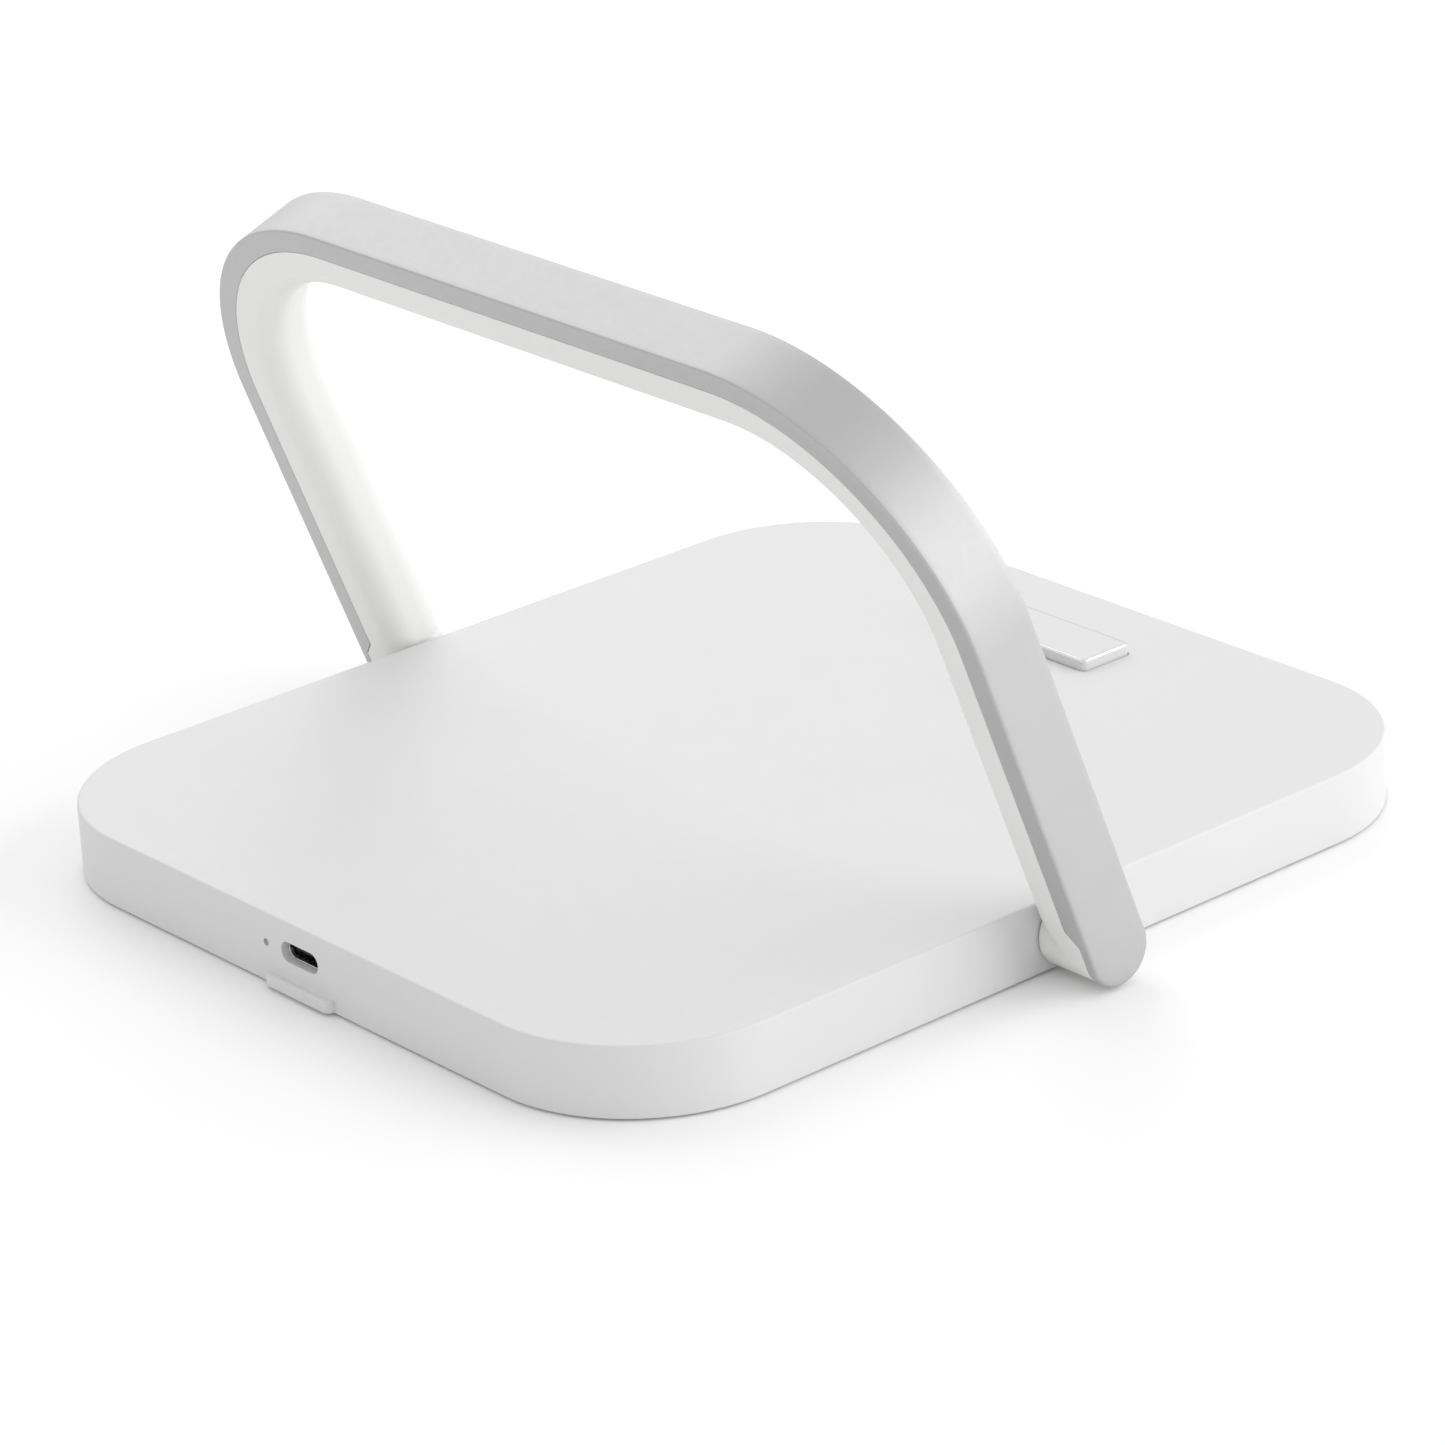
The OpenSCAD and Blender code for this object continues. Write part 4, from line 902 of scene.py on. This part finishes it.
class PAD_OT_springs(bpy.types.Operator):
    """Build the rubber dome and the two return springs"""

    bl_idname = "charging_pad.springs"
    bl_label = "Dome and springs"

    def execute(self, context):
        s = context.scene.button_shape

        def flatten(piece):
            """Gives a piece a mesh of its own."""
            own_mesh(piece)

        low, high = node_box("button_springs")
        outer, wire = (high[1] - low[1]) / 2, s.spring_wire / 2
        # A tube round a helix: the distance from the axis is the helix's radius + wire * cos(b), and the height rises
        # evenly with the turn a, + wire * sin(b)
        per_turn, round_wire = 24, 10
        a = np.linspace(0, 2 * math.pi * s.spring_turns, per_turn * s.spring_turns + 1)[:, None]
        b = np.arange(round_wire) / round_wire * 2 * math.pi
        reach = outer - wire + wire * np.cos(b)
        rise = low[2] + wire + (high[2] - low[2] - 2 * wire) * a / a[-1] + wire * np.sin(b)
        coil = np.stack(np.broadcast_arrays(reach * np.cos(a), reach * np.sin(a), rise), -1)
        parts = []
        for side in (-1, 1):
            spring = coil + (side * (high[0] - outer), (low[1] + high[1]) / 2, 0)
            parts += [grid_part(spring, flip=True), fan_part(spring[0]), fan_part(spring[-1], flip=True)]
        flatten(make_piece("return_springs", parts, "base", "button_springs", ["screw_steel"]))

        low, high = node_box("switch_dome")
        r, tall = (high[0] - low[0]) / 2, high[2] - low[2]
        profile = [(r - share * r, low[2] + height * tall) for share, height in DOME]
        dome = carry(circle(r), profile, "z", (0, (low[1] + high[1]) / 2))
        parts = [grid_part(dome), fan_part(dome[0], flip=True), fan_part(dome[-1])]
        flatten(make_piece("rubber_dome", parts, "base", "switch_dome", ["mat_silicone"]))
        return {"FINISHED"}


class PAD_OT_socket(bpy.types.Operator):
    """Build the drawn metal shell of the socket with its rolled mouth"""

    bl_idname = "charging_pad.socket"
    bl_label = "Socket shell"

    def execute(self, context):
        low, high = node_box("socket_shell")
        front, back = low[1], high[1]
        # The sheet's thickness, how far in front of the back it ends inside, and the bevel at the back
        wall, end, bevel = 0.3 * MM, 1.0 * MM, 0.3 * MM
        half = wall / 2
        round_out = arc_rows((0, front + half), (half, front), (half, front + half), 3)
        round_in = arc_rows((half, front), (wall, front + half), (half, front + half), 3)
        profile = [(bevel, back), (0, back - bevel), *round_out, *round_in[1:], (wall, back - end)]
        shell = carry(stadium(high[0] - low[0], high[2] - low[2]), profile, "y", (0, (low[2] + high[2]) / 2))
        parts = [grid_part(shell), fan_part(shell[0], flip=True), fan_part(shell[-1])]
        make_piece("socket_can", parts, "base", "socket_shell", ["socket_steel"])
        return {"FINISHED"}


class PAD_OT_inside(bpy.types.Operator):
    """Give every carried-over CAD node its own finish"""

    bl_idname = "charging_pad.inside"
    bl_label = "Carried-over parts"

    def execute(self, context):
        for slot, nodes in NODE_FINISHES.items():
            for name in nodes:
                obj = frame["nodes"][name]
                if not obj.material_slots:
                    obj.data.materials.append(None)
                for place in obj.material_slots:
                    place.material = finish(slot)
        return {"FINISHED"}


class PAD_OT_stage(bpy.types.Operator):
    """Build the floor, the soft lights and the camera"""

    bl_idname = "charging_pad.stage"
    bl_label = "Stage"

    def execute(self, context):
        scene, s = context.scene, context.scene.studio
        # A square floor, four metres wide, at the height of the pad's underside
        xy = np.array([(-1, -1), (1, -1), (1, 1), (-1, 1)]) * 2.0
        mesh = bpy.data.meshes.new("floor")
        mesh.from_pydata(np.column_stack([xy, np.full(4, CAD_BOX[0][2])]).tolist(), [], [(0, 1, 2, 3)])
        # Matt emulsion paint: it takes soft shadows and gives no reflection
        material, tree, shader = start_material("painted studio floor", tuple(s.floor), 0.0, 0.8, 1.45)
        vary(tree, shader, "Roughness", 0.76, 0.84, 40)
        mesh.materials.append(material)
        floor = bpy.data.objects.new("floor", mesh)
        scene.collection.objects.link(floor)

        world = bpy.data.worlds.new("white surround")
        world.use_nodes = True
        world.node_tree.nodes["Background"].inputs["Color"].default_value = (1, 1, 1, 1)
        world.node_tree.nodes["Background"].inputs["Strength"].default_value = s.world
        scene.world = world
        scene.view_settings.view_transform = "Standard"

        def softbox(name, place, width, height, power):
            """A rectangular area light that faces the middle of the object."""
            light = bpy.data.lights.new(name, "AREA")
            light.shape, light.size, light.size_y, light.energy = "RECTANGLE", width, height, power
            obj = bpy.data.objects.new(name, light)
            obj.location = place
            obj.rotation_euler = (Vector((0, 0, 0.05)) - Vector(place)).to_track_quat("-Z", "Y").to_euler()
            scene.collection.objects.link(obj)

        softbox("left_softbox", (-0.91, 0.33, 0.87), 1.0, 1.2, s.left_light)
        softbox("right_softbox", (0.77, 0.72, 0.46), 1.4, 0.9, s.right_light)

        # The camera looks down on the front right corner from about a metre away. back points from the object to it.
        camera = bpy.data.cameras.new("camera")
        camera.sensor_width, camera.lens = 36, s.focal
        camera.clip_start, camera.clip_end = 0.05, 20
        obj = bpy.data.objects.new("camera", camera)
        back = Vector((0.70622, -0.59106, 0.38974))
        up = Vector((-0.26441, 0.29047, 0.91962))
        back.normalize()
        right = up.cross(back).normalized()
        up = back.cross(right)
        turned = Matrix((right, up, back)).transposed().to_4x4()
        obj.matrix_world = Matrix.Translation(Vector((0.66727, -0.55998, 0.38677))) @ turned
        scene.collection.objects.link(obj)
        scene.camera = obj
        return {"FINISHED"}


PIECES = (PAD_OT_stage, PAD_OT_housing, PAD_OT_rail, PAD_OT_diffuser, PAD_OT_hubs, PAD_OT_button, PAD_OT_springs,
          PAD_OT_socket, PAD_OT_inside)
GROUPS = {"pad_shape": PadShape, "arch_shape": ArchShape, "button_shape": ButtonShape,
          "pad_finishes": Finishes, "studio": Studio}


class PAD_PT_panel(bpy.types.Panel):
    """Lists the sizes, colours and pieces of the charging pad"""

    bl_label = "Charging pad"
    bl_idname = "PAD_PT_panel"
    bl_space_type = "VIEW_3D"
    bl_region_type = "UI"
    bl_category = "Charging pad"

    def draw(self, context):
        for key, group in GROUPS.items():
            box = self.layout.box()
            box.label(text=group.__name__)
            for prop in group.__annotations__:
                box.prop(getattr(context.scene, key), prop)
        for piece in PIECES:
            self.layout.operator(piece.bl_idname)


def register():
    for item in (*GROUPS.values(), *PIECES, PAD_PT_panel):
        bpy.utils.register_class(item)
    for key, group in GROUPS.items():
        setattr(bpy.types.Scene, key, bpy.props.PointerProperty(type=group))


def unregister():
    for key in GROUPS:
        delattr(bpy.types.Scene, key)
    for item in (PAD_PT_panel, *reversed(PIECES), *reversed(GROUPS.values())):
        bpy.utils.unregister_class(item)


def main():
    register()
    for piece in PIECES:
        group, name = piece.bl_idname.split(".")
        getattr(getattr(bpy.ops, group), name)()


if __name__ == "__main__":
    main()
